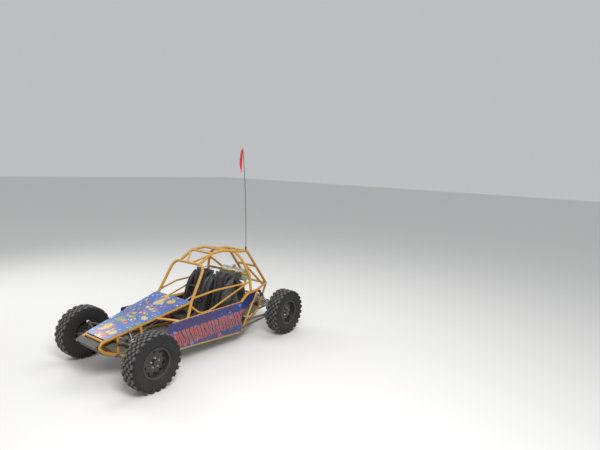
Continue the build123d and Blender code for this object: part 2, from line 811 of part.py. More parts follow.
def make_knuckle():
    """The left upright with its kingpin studs, spindle, steering arm and brake caliper."""
    low = LOWER_JOINT_Z + EYE_H / 2 + BALL_GAP
    high = UPPER_JOINT_Z - EYE_H / 2 - BALL_GAP
    post = cylinder(Vector(KINGPIN_X, 0, low), Vector(KINGPIN_X, 0, high), POST_R)
    stud = cylinder(Vector(KINGPIN_X, 0, low - EYE_H), Vector(KINGPIN_X, 0, high + EYE_H), STUD_R)
    middle = Vector(KINGPIN_X, 0, TYRE_R)
    hub = Vector(FRONT_TRACK / 2, 0, TYRE_R)
    spindle = cylinder(middle, hub + Vector(RIM_DISC_OUT - SPINDLE_SET, 0, 0), SPINDLE_R)
    root = cylinder(middle, hub - Vector(HUB_IN + BALL_GAP, 0, 0), SPINDLE_ROOT_R)
    arm_end = Vector(KINGPIN_X, STEER_ARM_Y, RACK_Z + ROD_EYE_H / 2 + LINK_GAP)
    arm = cylinder(arm_end, arm_end + Vector(0, 0, STEER_ARM_T), STEER_ARM_R)
    web_place = Pos(KINGPIN_X, STEER_ARM_Y / 2, arm_end.Z + STEER_ARM_T / 2)
    web = web_place * Box(STEER_ARM_W, STEER_ARM_Y, STEER_ARM_T)
    caliper = make_caliper(hub.X, CALIPER_ANGLE)
    bracket_l = hub.X - HUB_IN - LINK_GAP - KINGPIN_X
    bracket_place = Pos(KINGPIN_X + bracket_l / 2, -BRACKET_REACH + BRACKET_D / 2, TYRE_R)
    bracket = bracket_place * Box(bracket_l, BRACKET_D, BRACKET_H)
    return (post + stud + spindle + root + arm + web + caliper + bracket).solid()


def make_caliper(hub_x, turn):
    """A block astride the brake disc, with a running gap all round it."""
    block = Pos(0, -(DISC_R - CALIPER_BITE), 0) * Box(CALIPER_W, CALIPER_D, CALIPER_H)
    slot = Rot(0, 90, 0) * Cylinder(DISC_R + LINK_GAP, DISC_T + 2 * LINK_GAP)
    return (Pos(hub_x - DISC_IN, 0, TYRE_R) * Rot(turn, 0, 0) * (block - slot)).solid()


def make_rack_housing(posts):
    """The tube that holds the rack, its pinion box and two feet on the nose posts."""
    y = STEER_ARM_Y
    end = Vector(RACK_HOUSING_HALF, y, RACK_Z)
    barrel = cylinder(right(end), end, RACK_HOUSING_R)
    box = Pos(PINION_X, y, RACK_Z + PINION_BOX_RISE) * Box(PINION_BOX_W, PINION_BOX_D, PINION_BOX_D)
    foot = cylinder(Vector(RACK_FOOT_X, y, RACK_Z), at_z(*post_ends(PIVOT_REAR_Y), RACK_Z), RACK_FOOT_R)
    shape = cope(barrel + box + foot + mirrored(foot), *posts)
    bore = Vector(2 * RACK_HOUSING_HALF, y, RACK_Z)
    return main_piece(shape - cylinder(right(bore), bore, RACK_R + RACK_FIT))


def make_rack():
    """The sliding rack with a track rod and a rod end on each side."""
    inner = Vector(RACK_HOUSING_HALF + RACK_OUT, STEER_ARM_Y, RACK_Z)
    outer = Vector(KINGPIN_X, STEER_ARM_Y, RACK_Z)
    half_eye = Vector(0, 0, ROD_EYE_H / 2)
    rack = cylinder(right(inner), inner, RACK_R)
    for start, end in ((inner, outer), (right(inner), right(outer))):
        rod = cylinder(start, end, ROD_R) + cylinder(end - half_eye, end + half_eye, ROD_EYE_R)
        rack = rack + rod
    return main_piece(rack)


def make_steering_wheel():
    """A round grip on three spokes, square to its shaft."""
    axis = (wheel_hub - pinion).normalized()
    plane = Plane(origin=wheel_hub, x_dir=Vector(1, 0, 0).cross(axis).cross(axis), z_dir=axis)
    wheel = Torus(STEERING_WHEEL_R, GRIP_R) + Pos(0, 0, -BOSS_SET) * Cylinder(BOSS_R, BOSS_H)
    spoke = Pos(STEERING_WHEEL_R / 2, 0, -SPOKE_SET) * Box(STEERING_WHEEL_R - SPOKE_SET, SPOKE_W, SPOKE_T)
    for turn in (90, 210, 330):
        wheel = wheel + Rot(0, 0, turn) * spoke
    return (plane * wheel).solid()


def make_steering_shaft(wheel):
    axis = (wheel_hub - pinion).normalized()
    start = pinion + axis * SHAFT_START
    return cope(cylinder(start, wheel_hub, SHAFT_R), wheel)


# Coil-over dampers
def make_coilover(foot, head, carriers):
    """A damper body and rod with eyes at both ends and a ribbed spring round it."""
    axis = (head - foot).normalized()
    length = (head - foot).length
    plane = Plane(origin=foot, z_dir=axis)
    start = length * SPRING_START
    step = length * SPRING_SHARE / SPRING_TURNS
    outline = [(0, 0), (ROD_OF_DAMPER_R, 0), (ROD_OF_DAMPER_R, start)]
    for turn in range(SPRING_TURNS):
        low = start + step * turn
        outline += [(SPRING_R, low + step / 2), (DAMPER_R, low + step)]
    outline += [(DAMPER_R, length), (0, length)]
    body = revolve(make_face(Polyline(*outline, close=True)), axis=Axis.Y)
    body = plane * Rot(90, 0, 0) * body
    ends = [Pos(*end) * Rot(90, 0, 0) * Cylinder(DAMPER_R, DAMPER_EYE_L) for end in (foot, head)]
    return cope(body + ends[0] + ends[1], *carriers)


# Rear suspension and drive
def make_rear_arm(lower_rail):
    """A trailing arm of two legs that meet at the bearing carrier of the rear wheel."""
    inner = Vector(CARRIER_X, WHEELBASE, TYRE_R)
    width = Vector(CARRIER_L, 0, 0)
    arm = cylinder(inner, inner + width, CARRIER_R)
    end = inner + width / 2 - Vector(0, CARRIER_R * 0.64, CARRIER_R * 0.18)
    half_bush = (engine_floor - floor_rear).normalized() * BUSH_L / 2
    for pivot_y in (WHEELBASE - REAR_PIVOT_OUT_AHEAD, WHEELBASE - REAR_PIVOT_IN_AHEAD):
        pivot = at_y(floor_rear, engine_floor, pivot_y) + Vector(0, 0, TUBE_R + BUSH_R - BUSH_BITE)
        arm = arm + cylinder(pivot, end, REAR_ARM_R) + cylinder(pivot - half_bush, pivot + half_bush, BUSH_R)
    arm = arm - cylinder(inner - width, inner + width * 2, HALF_SHAFT_R + BEARING_FIT)
    return cope(arm, lower_rail)


def make_half_shaft():
    """The shaft from the gearbox to the left rear hub, with a joint's cup at both ends."""
    # start, end, radius
    runs = [
        (DIFF_HALF + BALL_GAP, REAR_TRACK / 2 + RIM_DISC_OUT - SPINDLE_SET, HALF_SHAFT_R),
        (DIFF_HALF + BALL_GAP, DIFF_HALF + BALL_GAP + CUP_L, SHAFT_JOINT_R),
        (CARRIER_X - CUP_GAP - CUP_L, CARRIER_X - CUP_GAP, SHAFT_JOINT_R),
    ]
    bars = [drum(*run) for run in runs]
    return (Pos(0, WHEELBASE, TYRE_R) * (bars[0] + bars[1:])).solid()


def make_transaxle(gearbox_bar):
    """The gearbox behind the engine: bell housing, differential and ribbed gear case."""
    y, z = WHEELBASE, TYRE_R
    diff = Pos(0, y, z) * drum(-DIFF_HALF, DIFF_HALF, DIFF_R)
    bell_y = ENGINE_FRONT_Y + ENGINE_L + SEAT_GAP
    bell_face = Plane(origin=(0, bell_y, z + BELL_RISE), z_dir=(0, 1, 0)) * Circle(BELL_R)
    bell = extrude(bell_face, amount=y - DIFF_R / 2 - bell_y, taper=BELL_TAPER)
    case_y = y + SHAFT_JOINT_R + BELL_RISE / 2
    case = Pos(0, case_y + GEARBOX_L / 2, z) * Box(GEARBOX_W, GEARBOX_L, GEARBOX_H)
    pad = cylinder(Vector(0, over_gearbox.Y, z), over_gearbox - Vector(over_gearbox.X, 0, 0), GEARBOX_PAD_R)
    rib = Box(GEARBOX_W + 2 * RIB_H, RIB_T, GEARBOX_H + 2 * RIB_H)
    shape = diff + bell + case + pad
    for share in (0.55, 0.8):
        shape = shape + Pos(0, case_y + GEARBOX_L * share, z) * rib
    return cope(shape, gearbox_bar)


CRANK_Z = engine_floor.Z + BRACE_R + SEAT_GAP + ENGINE_H / 2


def make_engine_block():
    middle_y = ENGINE_FRONT_Y + ENGINE_L / 2
    return (Pos(0, middle_y, CRANK_Z) * Box(ENGINE_W, ENGINE_L, ENGINE_H)).solid()


def make_engine_banks():
    """The finned cylinders and heads on both sides of the block."""
    middle_y = ENGINE_FRONT_Y + ENGINE_L / 2 - BANK_SET
    core = Box(BANK_REACH, BANK_L - 2 * FIN_H, BANK_H - 2 * FIN_H)
    bank = Pos(ENGINE_W / 2 + BANK_REACH / 2, middle_y, CRANK_Z) * core
    step = BANK_REACH / FINS
    for fin in range(FINS):
        x = ENGINE_W / 2 + step * (fin + 0.5)
        bank = bank + Pos(x, middle_y, CRANK_Z) * Box(FIN_T, BANK_L, BANK_H)
    return pair(main_piece(bank))


def make_shroud():
    """The arched cooling shroud on the engine with its round fan inlet."""
    low = CRANK_Z + ENGINE_H / 2 + SEAT_GAP
    y = ENGINE_FRONT_Y + ENGINE_L * 0.45
    arch_z = low + SHROUD_RISE
    body = Pos(0, y, (low + arch_z) / 2) * Box(2 * SHROUD_R, SHROUD_T, arch_z - low)
    arch = Pos(0, y, arch_z) * Rot(90, 0, 0) * Cylinder(SHROUD_R, SHROUD_T)
    shape = (body + arch) - Pos(0, y, low - SHROUD_R) * Box(3 * SHROUD_R, 2 * SHROUD_T, 2 * SHROUD_R)
    inlet = Pos(0, y + SHROUD_T / 2, arch_z) * Rot(90, 0, 0)
    fan = inlet * Cylinder(FAN_R, FAN_D)
    hub = inlet * Cylinder(FAN_HUB_R, FAN_D + 20)
    return main_piece(shape - fan + hub)


def make_intakes():
    """A carburettor and round air filter over each bank."""
    foot = CRANK_Z + BANK_H / 2 + SEAT_GAP
    y = ENGINE_FRONT_Y + ENGINE_L / 2 - BANK_SET
    x = ENGINE_W / 2 + BANK_REACH * 0.72
    # radius, height: intake, carburettor, filter
    stack = [(INTAKE_R, INTAKE_H), (CARBURETTOR_R, CARBURETTOR_H), (FILTER_R, FILTER_H)]
    shape = None
    for radius, height in stack:
        piece = Pos(x, y, foot + height / 2) * Cylinder(radius, height)
        shape = piece if shape is None else shape + piece
        foot += height
    return pair(shape.solid())


def make_exhaust(banks):
    """Headers under both banks that run back to a cross muffler."""
    x = ENGINE_W / 2 + BANK_REACH * 0.6
    top = CRANK_Z - BANK_H / 2 + HEADER_BITE
    y = ENGINE_FRONT_Y + ENGINE_L - HEADER_AHEAD
    points = [
        Vector(x, y, top),
        Vector(x, y, EXHAUST_Z),
        Vector(EXHAUST_X, y + HEADER_RUN, EXHAUST_Z),
        Vector(EXHAUST_X, MUFFLER_Y, MUFFLER_Z),
    ]
    pipe = cope(tube(points, EXHAUST_R, [HEADER_BEND_R, EXHAUST_BEND_R]), *banks)
    body = Vector(MUFFLER_HALF, MUFFLER_Y, MUFFLER_Z)
    return main_piece(cylinder(right(body), body, MUFFLER_R) + pipe + mirrored(pipe))


def make_tank(harness_bar):
    """The round fuel tank across the car behind the seats, with its filler neck."""
    end = Vector(TANK_L / 2, TANK_Y, TANK_Z)
    tank = cylinder(right(end), end, TANK_R)
    neck = cylinder(Vector(0, TANK_Y, TANK_Z), Vector(0, TANK_Y, TANK_Z + TANK_R + NECK_H), NECK_R)
    shape = tank + neck
    for x in (-TANK_L * 0.35, TANK_L * 0.35):
        shape = shape + cylinder(Vector(x, TANK_Y, TANK_Z), Vector(x, hoop_knee.Y, HARNESS_Z), SMALL_R)
    return cope(shape, harness_bar)


# Wheels
def ring(points):
    """A ring made of (radius, offset) points, turned about the wheel's own axis."""
    face = make_face(Polyline(*[Vector(offset, radius, 0) for radius, offset in points], close=True))
    return revolve(face, axis=Axis.X)


def drum(start, end, radius):
    """A round bar on the wheel's own axis."""
    return Pos((start + end) / 2, 0, 0) * Rot(0, 90, 0) * Cylinder(radius, end - start)


def make_wheel(centre, spindle_r):
    """A rim with lips, a disc with round holes and the hub with its brake disc."""
    half = RIM_W / 2
    barrel = [
        (BEAD_R + RIM_LIP, -half),
        (BEAD_R + RIM_LIP, -half + RIM_WALL),
        (BEAD_R, -half + RIM_WALL),
        (BEAD_R, half - RIM_WALL),
        (BEAD_R + RIM_LIP, half - RIM_WALL),
        (BEAD_R + RIM_LIP, half),
        (BEAD_R - RIM_WALL, half),
        (BEAD_R - RIM_WALL, -half),
    ]
    plate = drum(RIM_DISC_OUT - RIM_DISC_T / 2, RIM_DISC_OUT + RIM_DISC_T / 2, BEAD_R - RIM_WALL / 2)
    drill = Pos(0, 0, RIM_HOLE_CIRCLE_R) * drum(0, 2 * RIM_DISC_OUT, RIM_HOLE_R)
    for hole in range(RIM_HOLES):
        plate = plate - Rot(360 / RIM_HOLES * hole, 0, 0) * drill
    cap = drum(RIM_DISC_OUT, RIM_DISC_OUT + HUB_CAP_H, HUB_CAP_R)
    hub = drum(-HUB_IN, RIM_DISC_OUT, HUB_R)
    disc = drum(-DISC_IN - DISC_T / 2, -DISC_IN + DISC_T / 2, DISC_R)
    bore = drum(-2 * HUB_IN, RIM_DISC_OUT, spindle_r)
    return (Pos(*centre) * main_piece(ring(barrel) + plate + cap + hub + disc - bore)).solid()


def make_tyre(centre, width):
    """A carcass with two staggered rows of square lugs."""
    half = width / 2
    half_rim = RIM_W / 2 - RIM_WALL
    right_side = [
        (BEAD_R, half_rim),
        (BEAD_R + RIM_LIP + BEAD_GAP, half_rim),
        (BEAD_R + RIM_LIP + BEAD_SWELL, half_rim + BEAD_SWELL),
        (TYRE_R * 0.78, half),
        (TYRE_R - 2 * LUG_H, half * 0.95),
        (TYRE_R - 1.5 * LUG_H, half * 0.6),
    ]
    tyre = ring(right_side + [(radius, -offset) for radius, offset in right_side[::-1]])
    tyre = tyre + lug_row(0, half * LUG_SPAN) + lug_row(0.5, -half * LUG_SPAN)
    return (Pos(*centre) * main_piece(tyre)).solid()


def lug_row(phase, reach):
    """One side's row of square lugs, a toothed belt from the tyre's middle to its shoulder."""
    root_r = TYRE_R - LUG_H
    corners = [(-LUG_FOOT_L, root_r), (-LUG_L, TYRE_R), (LUG_L, TYRE_R), (LUG_FOOT_L, root_r)]
    points = []
    for lug in range(LUGS):
        turn = 360 / LUGS * (lug + phase)
        points += [Vector(0, length / 2, -radius).rotate(Axis.X, turn) for length, radius in corners]
    belt = make_face(Polyline(*points, close=True)) - Plane.YZ * Circle(root_r - 2 * LUG_H)
    return extrude(belt, amount=reach, dir=(1, 0, 0))


# Whip aerial
def make_whip():
    """A thin pole that bends to the right, in its socket at the rear end of the roof."""
    foot = stay_top - Vector(0, BRACE_R + SOCKET_R - SOCKET_BITE, SOCKET_DROP)
    tip = foot + Vector(-WHIP_LEAN, -WHIP_LEAN * 0.3, WHIP_L)
    middle = between(foot, tip, 0.5) + Vector(WHIP_LEAN * 0.3, 0, 0)
    path = ThreePointArc(foot, middle, tip)
    pole = sweep(Plane(origin=foot, z_dir=path % 0) * Circle(WHIP_R), path=path).solid()
    socket = cylinder(foot, foot + Vector(0, 0, SOCKET_H), SOCKET_R)
    return pole + socket, tip, path % 1


def make_flag(tip, along):
    """The limp pennant, which hangs from a sleeve under the whip's tip."""
    sleeve_top = tip - along * FLAG_DROP
    sleeve_foot = sleeve_top - along * FLAG_SLEEVE_L
    sleeve = cylinder(sleeve_foot, sleeve_top, WHIP_R + FLAG_HEM)
    outward = Vector(-1, 0, 0)
    plane = Plane(origin=sleeve_top, x_dir=outward, z_dir=outward.cross(along))
    hem = plane.to_local_coords(sleeve_foot)
    outline = [(0, 0), (FLAG_W * 0.5, -12), (FLAG_W, -FLAG_L * 0.6), (FLAG_W * 0.4, -FLAG_L), (hem.X, hem.Y)]
    cloth = extrude(make_face(Polyline(*outline, close=True)), amount=FLAG_T / 2, both=True)
    flag = plane * cloth + sleeve
    return main_piece(flag - cylinder(sleeve_foot - along * FLAG_SLEEVE_L, tip, WHIP_R + FLAG_FIT))


# Nodes, moved so that the car's length runs evenly from the nose skid's front to the rear tyres' back
os.makedirs("parts", exist_ok=True)
nose_skid = make_nose_skid()
MIDDLE_Y = (nose_skid.bounding_box().min.Y + WHEELBASE + TYRE_R) / 2
TO_MIDDLE = Location((0, -MIDDLE_Y, 0))


def write(name, solids):
    node = Compound([solid.moved(TO_MIDDLE) for solid in solids])
    export_step(node, f"parts/{name}.step")


lower_rails = pair(make_lower_rail())
side_rails = pair(make_side_rail(lower_rails[0]))
windscreen_hoop = make_windscreen_hoop()
hood_rails = pair(make_hood_rail(lower_rails[0], windscreen_hoop))
main_hoop = make_main_hoop(side_rails)
roof_rails = pair(make_roof_rail(windscreen_hoop, main_hoop))
rear_stays = pair(make_rear_stay(main_hoop, side_rails[0], roof_rails[0]))
roof_bars = make_roof_bars(roof_rails + rear_stays, windscreen_hoop)
tow_bar = make_tow_bar(side_rails + rear_stays)
rear_stays += pair(make_lower_stay(main_hoop, side_rails[0]))
door_tubes = []
for piece in make_door_tubes(windscreen_hoop, hood_rails[0], side_rails[0], main_hoop):
    door_tubes += pair(piece)
cross_bars = make_cross_bars(lower_rails + hood_rails)
nose_posts = []
for post in make_nose_posts(lower_rails[0], hood_rails[0], cross_bars):
    nose_posts += pair(post)
floor_bar = cross_bars[-2]
rear_bars = make_rear_bars(main_hoop, [lower_rails[0], side_rails[0], rear_stays[0], floor_bar, tow_bar])

write("lower_rails", lower_rails)
write("side_rails", side_rails)
write("hood_rails", hood_rails)
write("windscreen_hoop", [windscreen_hoop])
write("main_hoop", [main_hoop])
write("roof_rails", roof_rails)
write("rear_stays", rear_stays)
write("roof_bars", roof_bars)
write("tow_bar", [tow_bar])
write("door_tubes", door_tubes)
write("cross_bars", cross_bars)
write("nose_posts", nose_posts)
write("rear_bars", rear_bars)

write("hood", [make_hood()])
write("side_panels", pair(make_side_panel()))
write("rear_panels", pair(make_rear_panel(side_rails[0], [rear_bars[0], rear_bars[4]])))
write("nose_skid", [nose_skid])
write("floor_pan", [make_floor_pan()])
write("dash", [make_dash(windscreen_hoop, hood_rails)])
write("firewall", [make_firewall()])
write("seats", [make_seat(DRIVER_X), make_seat(-DRIVER_X)])
write("seat_feet", make_seat_feet(DRIVER_X) + make_seat_feet(-DRIVER_X))

arms = make_front_arms(lower_rails[0], nose_posts)
write("front_arms", pair(arms[0]) + pair(arms[1]))
knuckle = make_knuckle()
write("knuckle_left", [knuckle])
write("knuckle_right", [mirrored(knuckle)])
write("rack_housing", [make_rack_housing(nose_posts)])
write("steering_rack", [make_rack()])
steering_wheel = make_steering_wheel()
write("steering_wheel", [steering_wheel])
write("steering_shaft", [make_steering_shaft(steering_wheel)])

rear_arm = make_rear_arm(lower_rails[0])
write("rear_arms", pair(rear_arm))
half_shaft = make_half_shaft()
write("half_shaft_left", [half_shaft])
write("half_shaft_right", [mirrored(half_shaft)])
transaxle = make_transaxle(rear_bars[-2])
write("transaxle", [transaxle])
write("engine_block", [make_engine_block()])
banks = make_engine_banks()
write("engine_banks", banks)
write("cooling_shroud", [make_shroud()])
write("intakes", make_intakes())
write("exhaust", [make_exhaust(banks)])
write("fuel_tank", [make_tank(rear_bars[-1])])

front_foot = Vector(KINGPIN_X - FRONT_FOOT_IN, 0, LOWER_JOINT_Z + FRONT_FOOT_RISE)
front_head = at_y(nose_top, cowl, FRONT_HEAD_Y) + Vector(FRONT_HEAD_OUT, 0, -FRONT_HEAD_DROP)
rear_foot = Vector(CARRIER_X - CARRIER_GAP, WHEELBASE - REAR_FOOT_AHEAD, TYRE_R - REAR_FOOT_DROP)
rear_head = at_y(rail_engine, tail_top, ENGINE_REAR_Y + REAR_HEAD_SET)
rear_head += Vector(REAR_HEAD_OUT, 0, -REAR_HEAD_OUT)
front_damper = make_coilover(front_foot, front_head, [arms[1], hood_rails[0]])
rear_damper = make_coilover(rear_foot, rear_head, [rear_arm, side_rails[0]])
write("dampers", pair(front_damper) + pair(rear_damper))

corners = {
    "front_left": (Vector(FRONT_TRACK / 2, 0, TYRE_R), SPINDLE_R + STUD_FIT, FRONT_TYRE_W, False),
    "front_right": (Vector(FRONT_TRACK / 2, 0, TYRE_R), SPINDLE_R + STUD_FIT, FRONT_TYRE_W, True),
    "rear_left": (Vector(REAR_TRACK / 2, WHEELBASE, TYRE_R), HALF_SHAFT_R, REAR_TYRE_W, False),
    "rear_right": (Vector(REAR_TRACK / 2, WHEELBASE, TYRE_R), HALF_SHAFT_R, REAR_TYRE_W, True),
}
for corner, (centre, bore_r, width, flip) in corners.items():
    rim = make_wheel(centre, bore_r)
    tyre = make_tyre(centre, width)
    write(f"rim_{corner}", [mirrored(rim) if flip else rim])
    write(f"tyre_{corner}", [mirrored(tyre) if flip else tyre])

whip, whip_tip, whip_run = make_whip()
write("whip", [cope(whip, *roof_bars, *rear_stays[:2])])
write("flag", [make_flag(whip_tip, whip_run)])
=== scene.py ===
# %% [markdown]
# # A sand buggy
#
# A sand buggy is a cage of bent tubes with thin sheets laid on it. Its bare solids come in as a fixed frame:
# each one already stands where it belongs, on the body that it moves with. This lesson dresses them. Some
# solids only need a good material, and others, such as tyres, springs and seats, make way for finer pieces.

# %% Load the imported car
import math

import bmesh
import bpy
from mathutils import Matrix, Vector


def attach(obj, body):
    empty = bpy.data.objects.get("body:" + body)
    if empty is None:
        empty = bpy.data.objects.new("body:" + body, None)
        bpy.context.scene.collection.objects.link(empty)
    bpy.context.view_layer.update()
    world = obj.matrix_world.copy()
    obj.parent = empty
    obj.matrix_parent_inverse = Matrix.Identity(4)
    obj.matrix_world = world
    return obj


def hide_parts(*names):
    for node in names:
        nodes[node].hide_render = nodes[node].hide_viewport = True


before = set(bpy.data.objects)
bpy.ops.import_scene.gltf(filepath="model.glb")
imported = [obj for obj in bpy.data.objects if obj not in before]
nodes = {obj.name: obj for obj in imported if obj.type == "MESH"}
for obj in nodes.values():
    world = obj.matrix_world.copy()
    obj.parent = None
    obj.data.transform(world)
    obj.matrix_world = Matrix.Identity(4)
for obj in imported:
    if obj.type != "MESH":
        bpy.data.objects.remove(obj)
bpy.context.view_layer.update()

# %% [markdown]
# ## Places on the car
#
# Metres, with X to the driver's left, Y rearwards and Z up. The main places are named once, so that every
# piece below can be set against them.

# %% Name the main places
FRONT_AXLE_Y = -1.3588
REAR_AXLE_Y = 1.4112
AXLE_Z = 0.381
FRONT_HALF_TRACK = 0.813
REAR_HALF_TRACK = 0.766
BEAD_R = 0.190
RIM_HALF = 0.1025
print("wheelbase, metres:", round(REAR_AXLE_Y - FRONT_AXLE_Y, 3))

# %% [markdown]
# ## The camera and the light
#
# The camera stands where the photographer stood, high beside the left front wheel and well back, and looks
# over the car with a wide lens. Its turn is given as a yaw, a pitch and a small roll.

# %% Set up the camera
scene = bpy.context.scene
scene.view_settings.view_transform = "Standard"
CAMERA_PLACE = (5.5713, -4.8457, 2.9304)
CAMERA_YAW = -0.6268
CAMERA_PITCH = -0.1287
CAMERA_ROLL = 0.0394
LENS_MM = 27.83


def camera_turn(yaw, pitch, roll):
    """The camera's rotation, from a look direction given by yaw and pitch, and a roll about it."""
    forward = Vector((math.sin(yaw) * math.cos(pitch), math.cos(yaw) * math.cos(pitch), math.sin(pitch)))
    level = forward.cross(Vector((0, 0, 1))).normalized()
    upright = level.cross(forward)
    right = level * math.cos(roll) + upright * math.sin(roll)
    up = upright * math.cos(roll) - level * math.sin(roll)
    return Matrix((right, up, -forward)).transposed()


def placed(name, data):
    """A new object in the scene that shows some data."""
    thing = bpy.data.objects.new(name, data)
    scene.collection.objects.link(thing)
    return thing


camera_data = bpy.data.cameras.new("photo_camera")
camera_data.lens = LENS_MM
camera_data.sensor_width = 36.0
camera = placed("photo_camera", camera_data)
looking = camera_turn(CAMERA_YAW, CAMERA_PITCH, CAMERA_ROLL)
camera.matrix_world = Matrix.Translation(CAMERA_PLACE) @ looking.to_4x4()
scene.camera = camera
print("camera stands at", CAMERA_PLACE, "with a lens of", LENS_MM, "mm")

# %% [markdown]
# A pale floor and a pale sky make a plain studio. One large lamp stands in for the low sun on the car's left,
# and a weaker one opposite keeps the shaded side readable.

# %% Lay the floor and hang the lamps
FLOOR_COLOUR = (0.80, 0.79, 0.77, 1)
FLOOR_ROUGHNESS = 0.9
SKY_COLOUR = (0.92, 0.94, 0.97, 1)
SKY_STRENGTH = 0.55
CAR_MIDDLE = Vector((0, 0, 0.5))


def area_lamp(name, place, size, watts):
    """A square soft lamp that points from its place at the middle of the car."""
    data = bpy.data.lights.new(name, "AREA")
    data.size = size
    data.energy = watts
    lamp = placed(name, data)
    lamp.location = place
    lamp.rotation_euler = (CAR_MIDDLE - Vector(place)).to_track_quat("-Z", "Y").to_euler()
    print("lamp:", name, watts, "watts")


area_lamp("sun_side", (5.5, -3.5, 6.5), 3.0, 470)
area_lamp("far_side", (-6.0, -1.0, 5.0), 4.0, 150)
area_lamp("overhead", (0.0, 3.5, 7.5), 5.0, 150)


def stored(name, shape):
    """A bmesh as a new mesh."""
    mesh = bpy.data.meshes.new(name)
    shape.to_mesh(mesh)
    shape.free()
    return mesh


world = bpy.data.worlds.new("pale_sky")
scene.world = world
world.use_nodes = True
background = world.node_tree.nodes["Background"]
background.inputs["Color"].default_value = SKY_COLOUR
background.inputs["Strength"].default_value = SKY_STRENGTH

floor_shape = bmesh.new()
bmesh.ops.create_grid(floor_shape, x_segments=1, y_segments=1, size=60)
floor_mesh = stored("floor", floor_shape)
floor_paint = bpy.data.materials.new("pale_floor")
floor_paint.use_nodes = True
floor_shader = floor_paint.node_tree.nodes["Principled BSDF"]
floor_shader.inputs["Base Color"].default_value = FLOOR_COLOUR
floor_shader.inputs["Roughness"].default_value = FLOOR_ROUGHNESS
floor_mesh.materials.append(floor_paint)
floor = placed("floor", floor_mesh)

# %% [markdown]
# ## Shader groups
#
# The same effects come back on many finishes: fine dust that settles on upward faces, blotches of fading and
# small chips. Each is a node group with named inputs, placed in a material with that material's own values.

# %% Start a shader group
COLOUR = "NodeSocketColor"
NUMBER = "NodeSocketFloat"


def new_group(name, inputs, outputs):
    """An empty node group, its inputs as the tree sees them and its output node."""
    group = bpy.data.node_groups.new(name, "ShaderNodeTree")
    for label, value in inputs.items():
        kind = NUMBER if isinstance(value, float) else COLOUR
        socket = group.interface.new_socket(label, in_out="INPUT", socket_type=kind)
        socket.default_value = value
    for label, kind in outputs.items():
        group.interface.new_socket(label, in_out="OUTPUT", socket_type=kind)
    print("shader group:", name)
    return group, group.nodes.new("NodeGroupInput").outputs, group.nodes.new("NodeGroupOutput")


def plug(tree, node, label, value):
    """Link a socket to a node's input, or write a plain value there."""
    socket = node.inputs[int(label)] if label.isdigit() else node.inputs[label]
    if isinstance(value, bpy.types.NodeSocket):
        tree.links.new(value, socket)
    else:
        socket.default_value = value


def add(tree, kind, settings=None, **values):
    """A new node with settings, whose named inputs are values or are linked from sockets."""
    node = tree.nodes.new(kind)
    for key, value in (settings or {}).items():
        setattr(node, key, value)
    for key, value in values.items():
        plug(tree, node, key.replace("_", " "), value)
    return node


def arithmetic(tree, operation, a, b=0.0, clamp=False):
    """One Math node's output."""
    settings = {"operation": operation, "use_clamp": clamp}
    return add(tree, "ShaderNodeMath", settings, **{"0": a, "1": b}).outputs[0]


def times(tree, a, b, clamp=False):
    return arithmetic(tree, "MULTIPLY", a, b, clamp)


def plus(tree, a, b):
    return arithmetic(tree, "ADD", a, b)


def minus(tree, a, b):
    return arithmetic(tree, "SUBTRACT", a, b)


def mixed(tree, share, a, b):
    """A colour between a and b."""
    return add(tree, "ShaderNodeMix", {"data_type": "RGBA"}, **{"0": share, "6": a, "7": b}).outputs[2]


def noise(tree, vector, scale, detail=3.0, rough=0.55):
    """Soft random values from 0 to 1."""
    node = add(tree, "ShaderNodeTexNoise", Vector=vector, Scale=scale, Detail=detail, Roughness=rough)
    return node.outputs["Fac"]


def ramp(tree, value, low, high):
    """0 below low, 1 above high and even between them."""
    node = add(tree, "ShaderNodeMapRange", {"clamp": True}, Value=value, From_Min=low, From_Max=high)
    return node.outputs[0]


def object_places(tree):
    """Object coordinates, whole and split into X, Y and Z."""
    coordinates = tree.nodes.new("ShaderNodeTexCoord").outputs["Object"]
    return coordinates, add(tree, "ShaderNodeSeparateXYZ", Vector=coordinates).outputs


# %% [markdown]
# Desert dust lies thickest on faces that look up and near the ground. The group takes the clean colour and
# roughness, masks out where dust lies, and gives back the dusty colour and a roughness that the dust raises.

# %% Build the dust group
DUST = (0.50, 0.42, 0.32, 1)
DUST_GAIN = 1.7
DUST_ROUGHNESS = 0.95

dust, dust_in, dust_out = new_group(
    "settled_dust",
    {"Colour": (0.5, 0.5, 0.5, 1), "Dust": DUST, "On Top": 0.4, "Low Down": 0.3, "Roughness": 0.4},
    {"Colour": COLOUR, "Roughness": NUMBER},
)
places, place_split = object_places(dust)
facing = dust.nodes.new("ShaderNodeNewGeometry").outputs["Normal"]
facing_up = add(dust, "ShaderNodeSeparateXYZ", Vector=facing).outputs["Z"]
patches = noise(dust, places, 7.0, 5.0, 0.62)
specks = noise(dust, places, 95.0, 3.0, 0.6)
top = times(dust, ramp(dust, facing_up, 0.1, 1.0), dust_in["On Top"])
low = times(dust, ramp(dust, place_split["Z"], 0.75, 0.1), dust_in["Low Down"])
blotched = times(dust, plus(dust, top, low), ramp(dust, patches, 0.22, 0.72))
speckled = times(dust, blotched, ramp(dust, specks, 0.15, 0.85))
mask = times(dust, speckled, DUST_GAIN, clamp=True)
rougher = add(dust, "ShaderNodeMapRange", {"clamp": True}, Value=mask, To_Min=dust_in["Roughness"],
              To_Max=DUST_ROUGHNESS)
plug(dust, dust_out, "Colour", mixed(dust, mask, dust_in["Colour"], dust_in["Dust"]))
plug(dust, dust_out, "Roughness", rougher.outputs[0])

# %% [markdown]
# Paint and castings are never quite even. This group gives a colour slow blotches and sparse chips in a second
# colour, and a fine height for the bump.

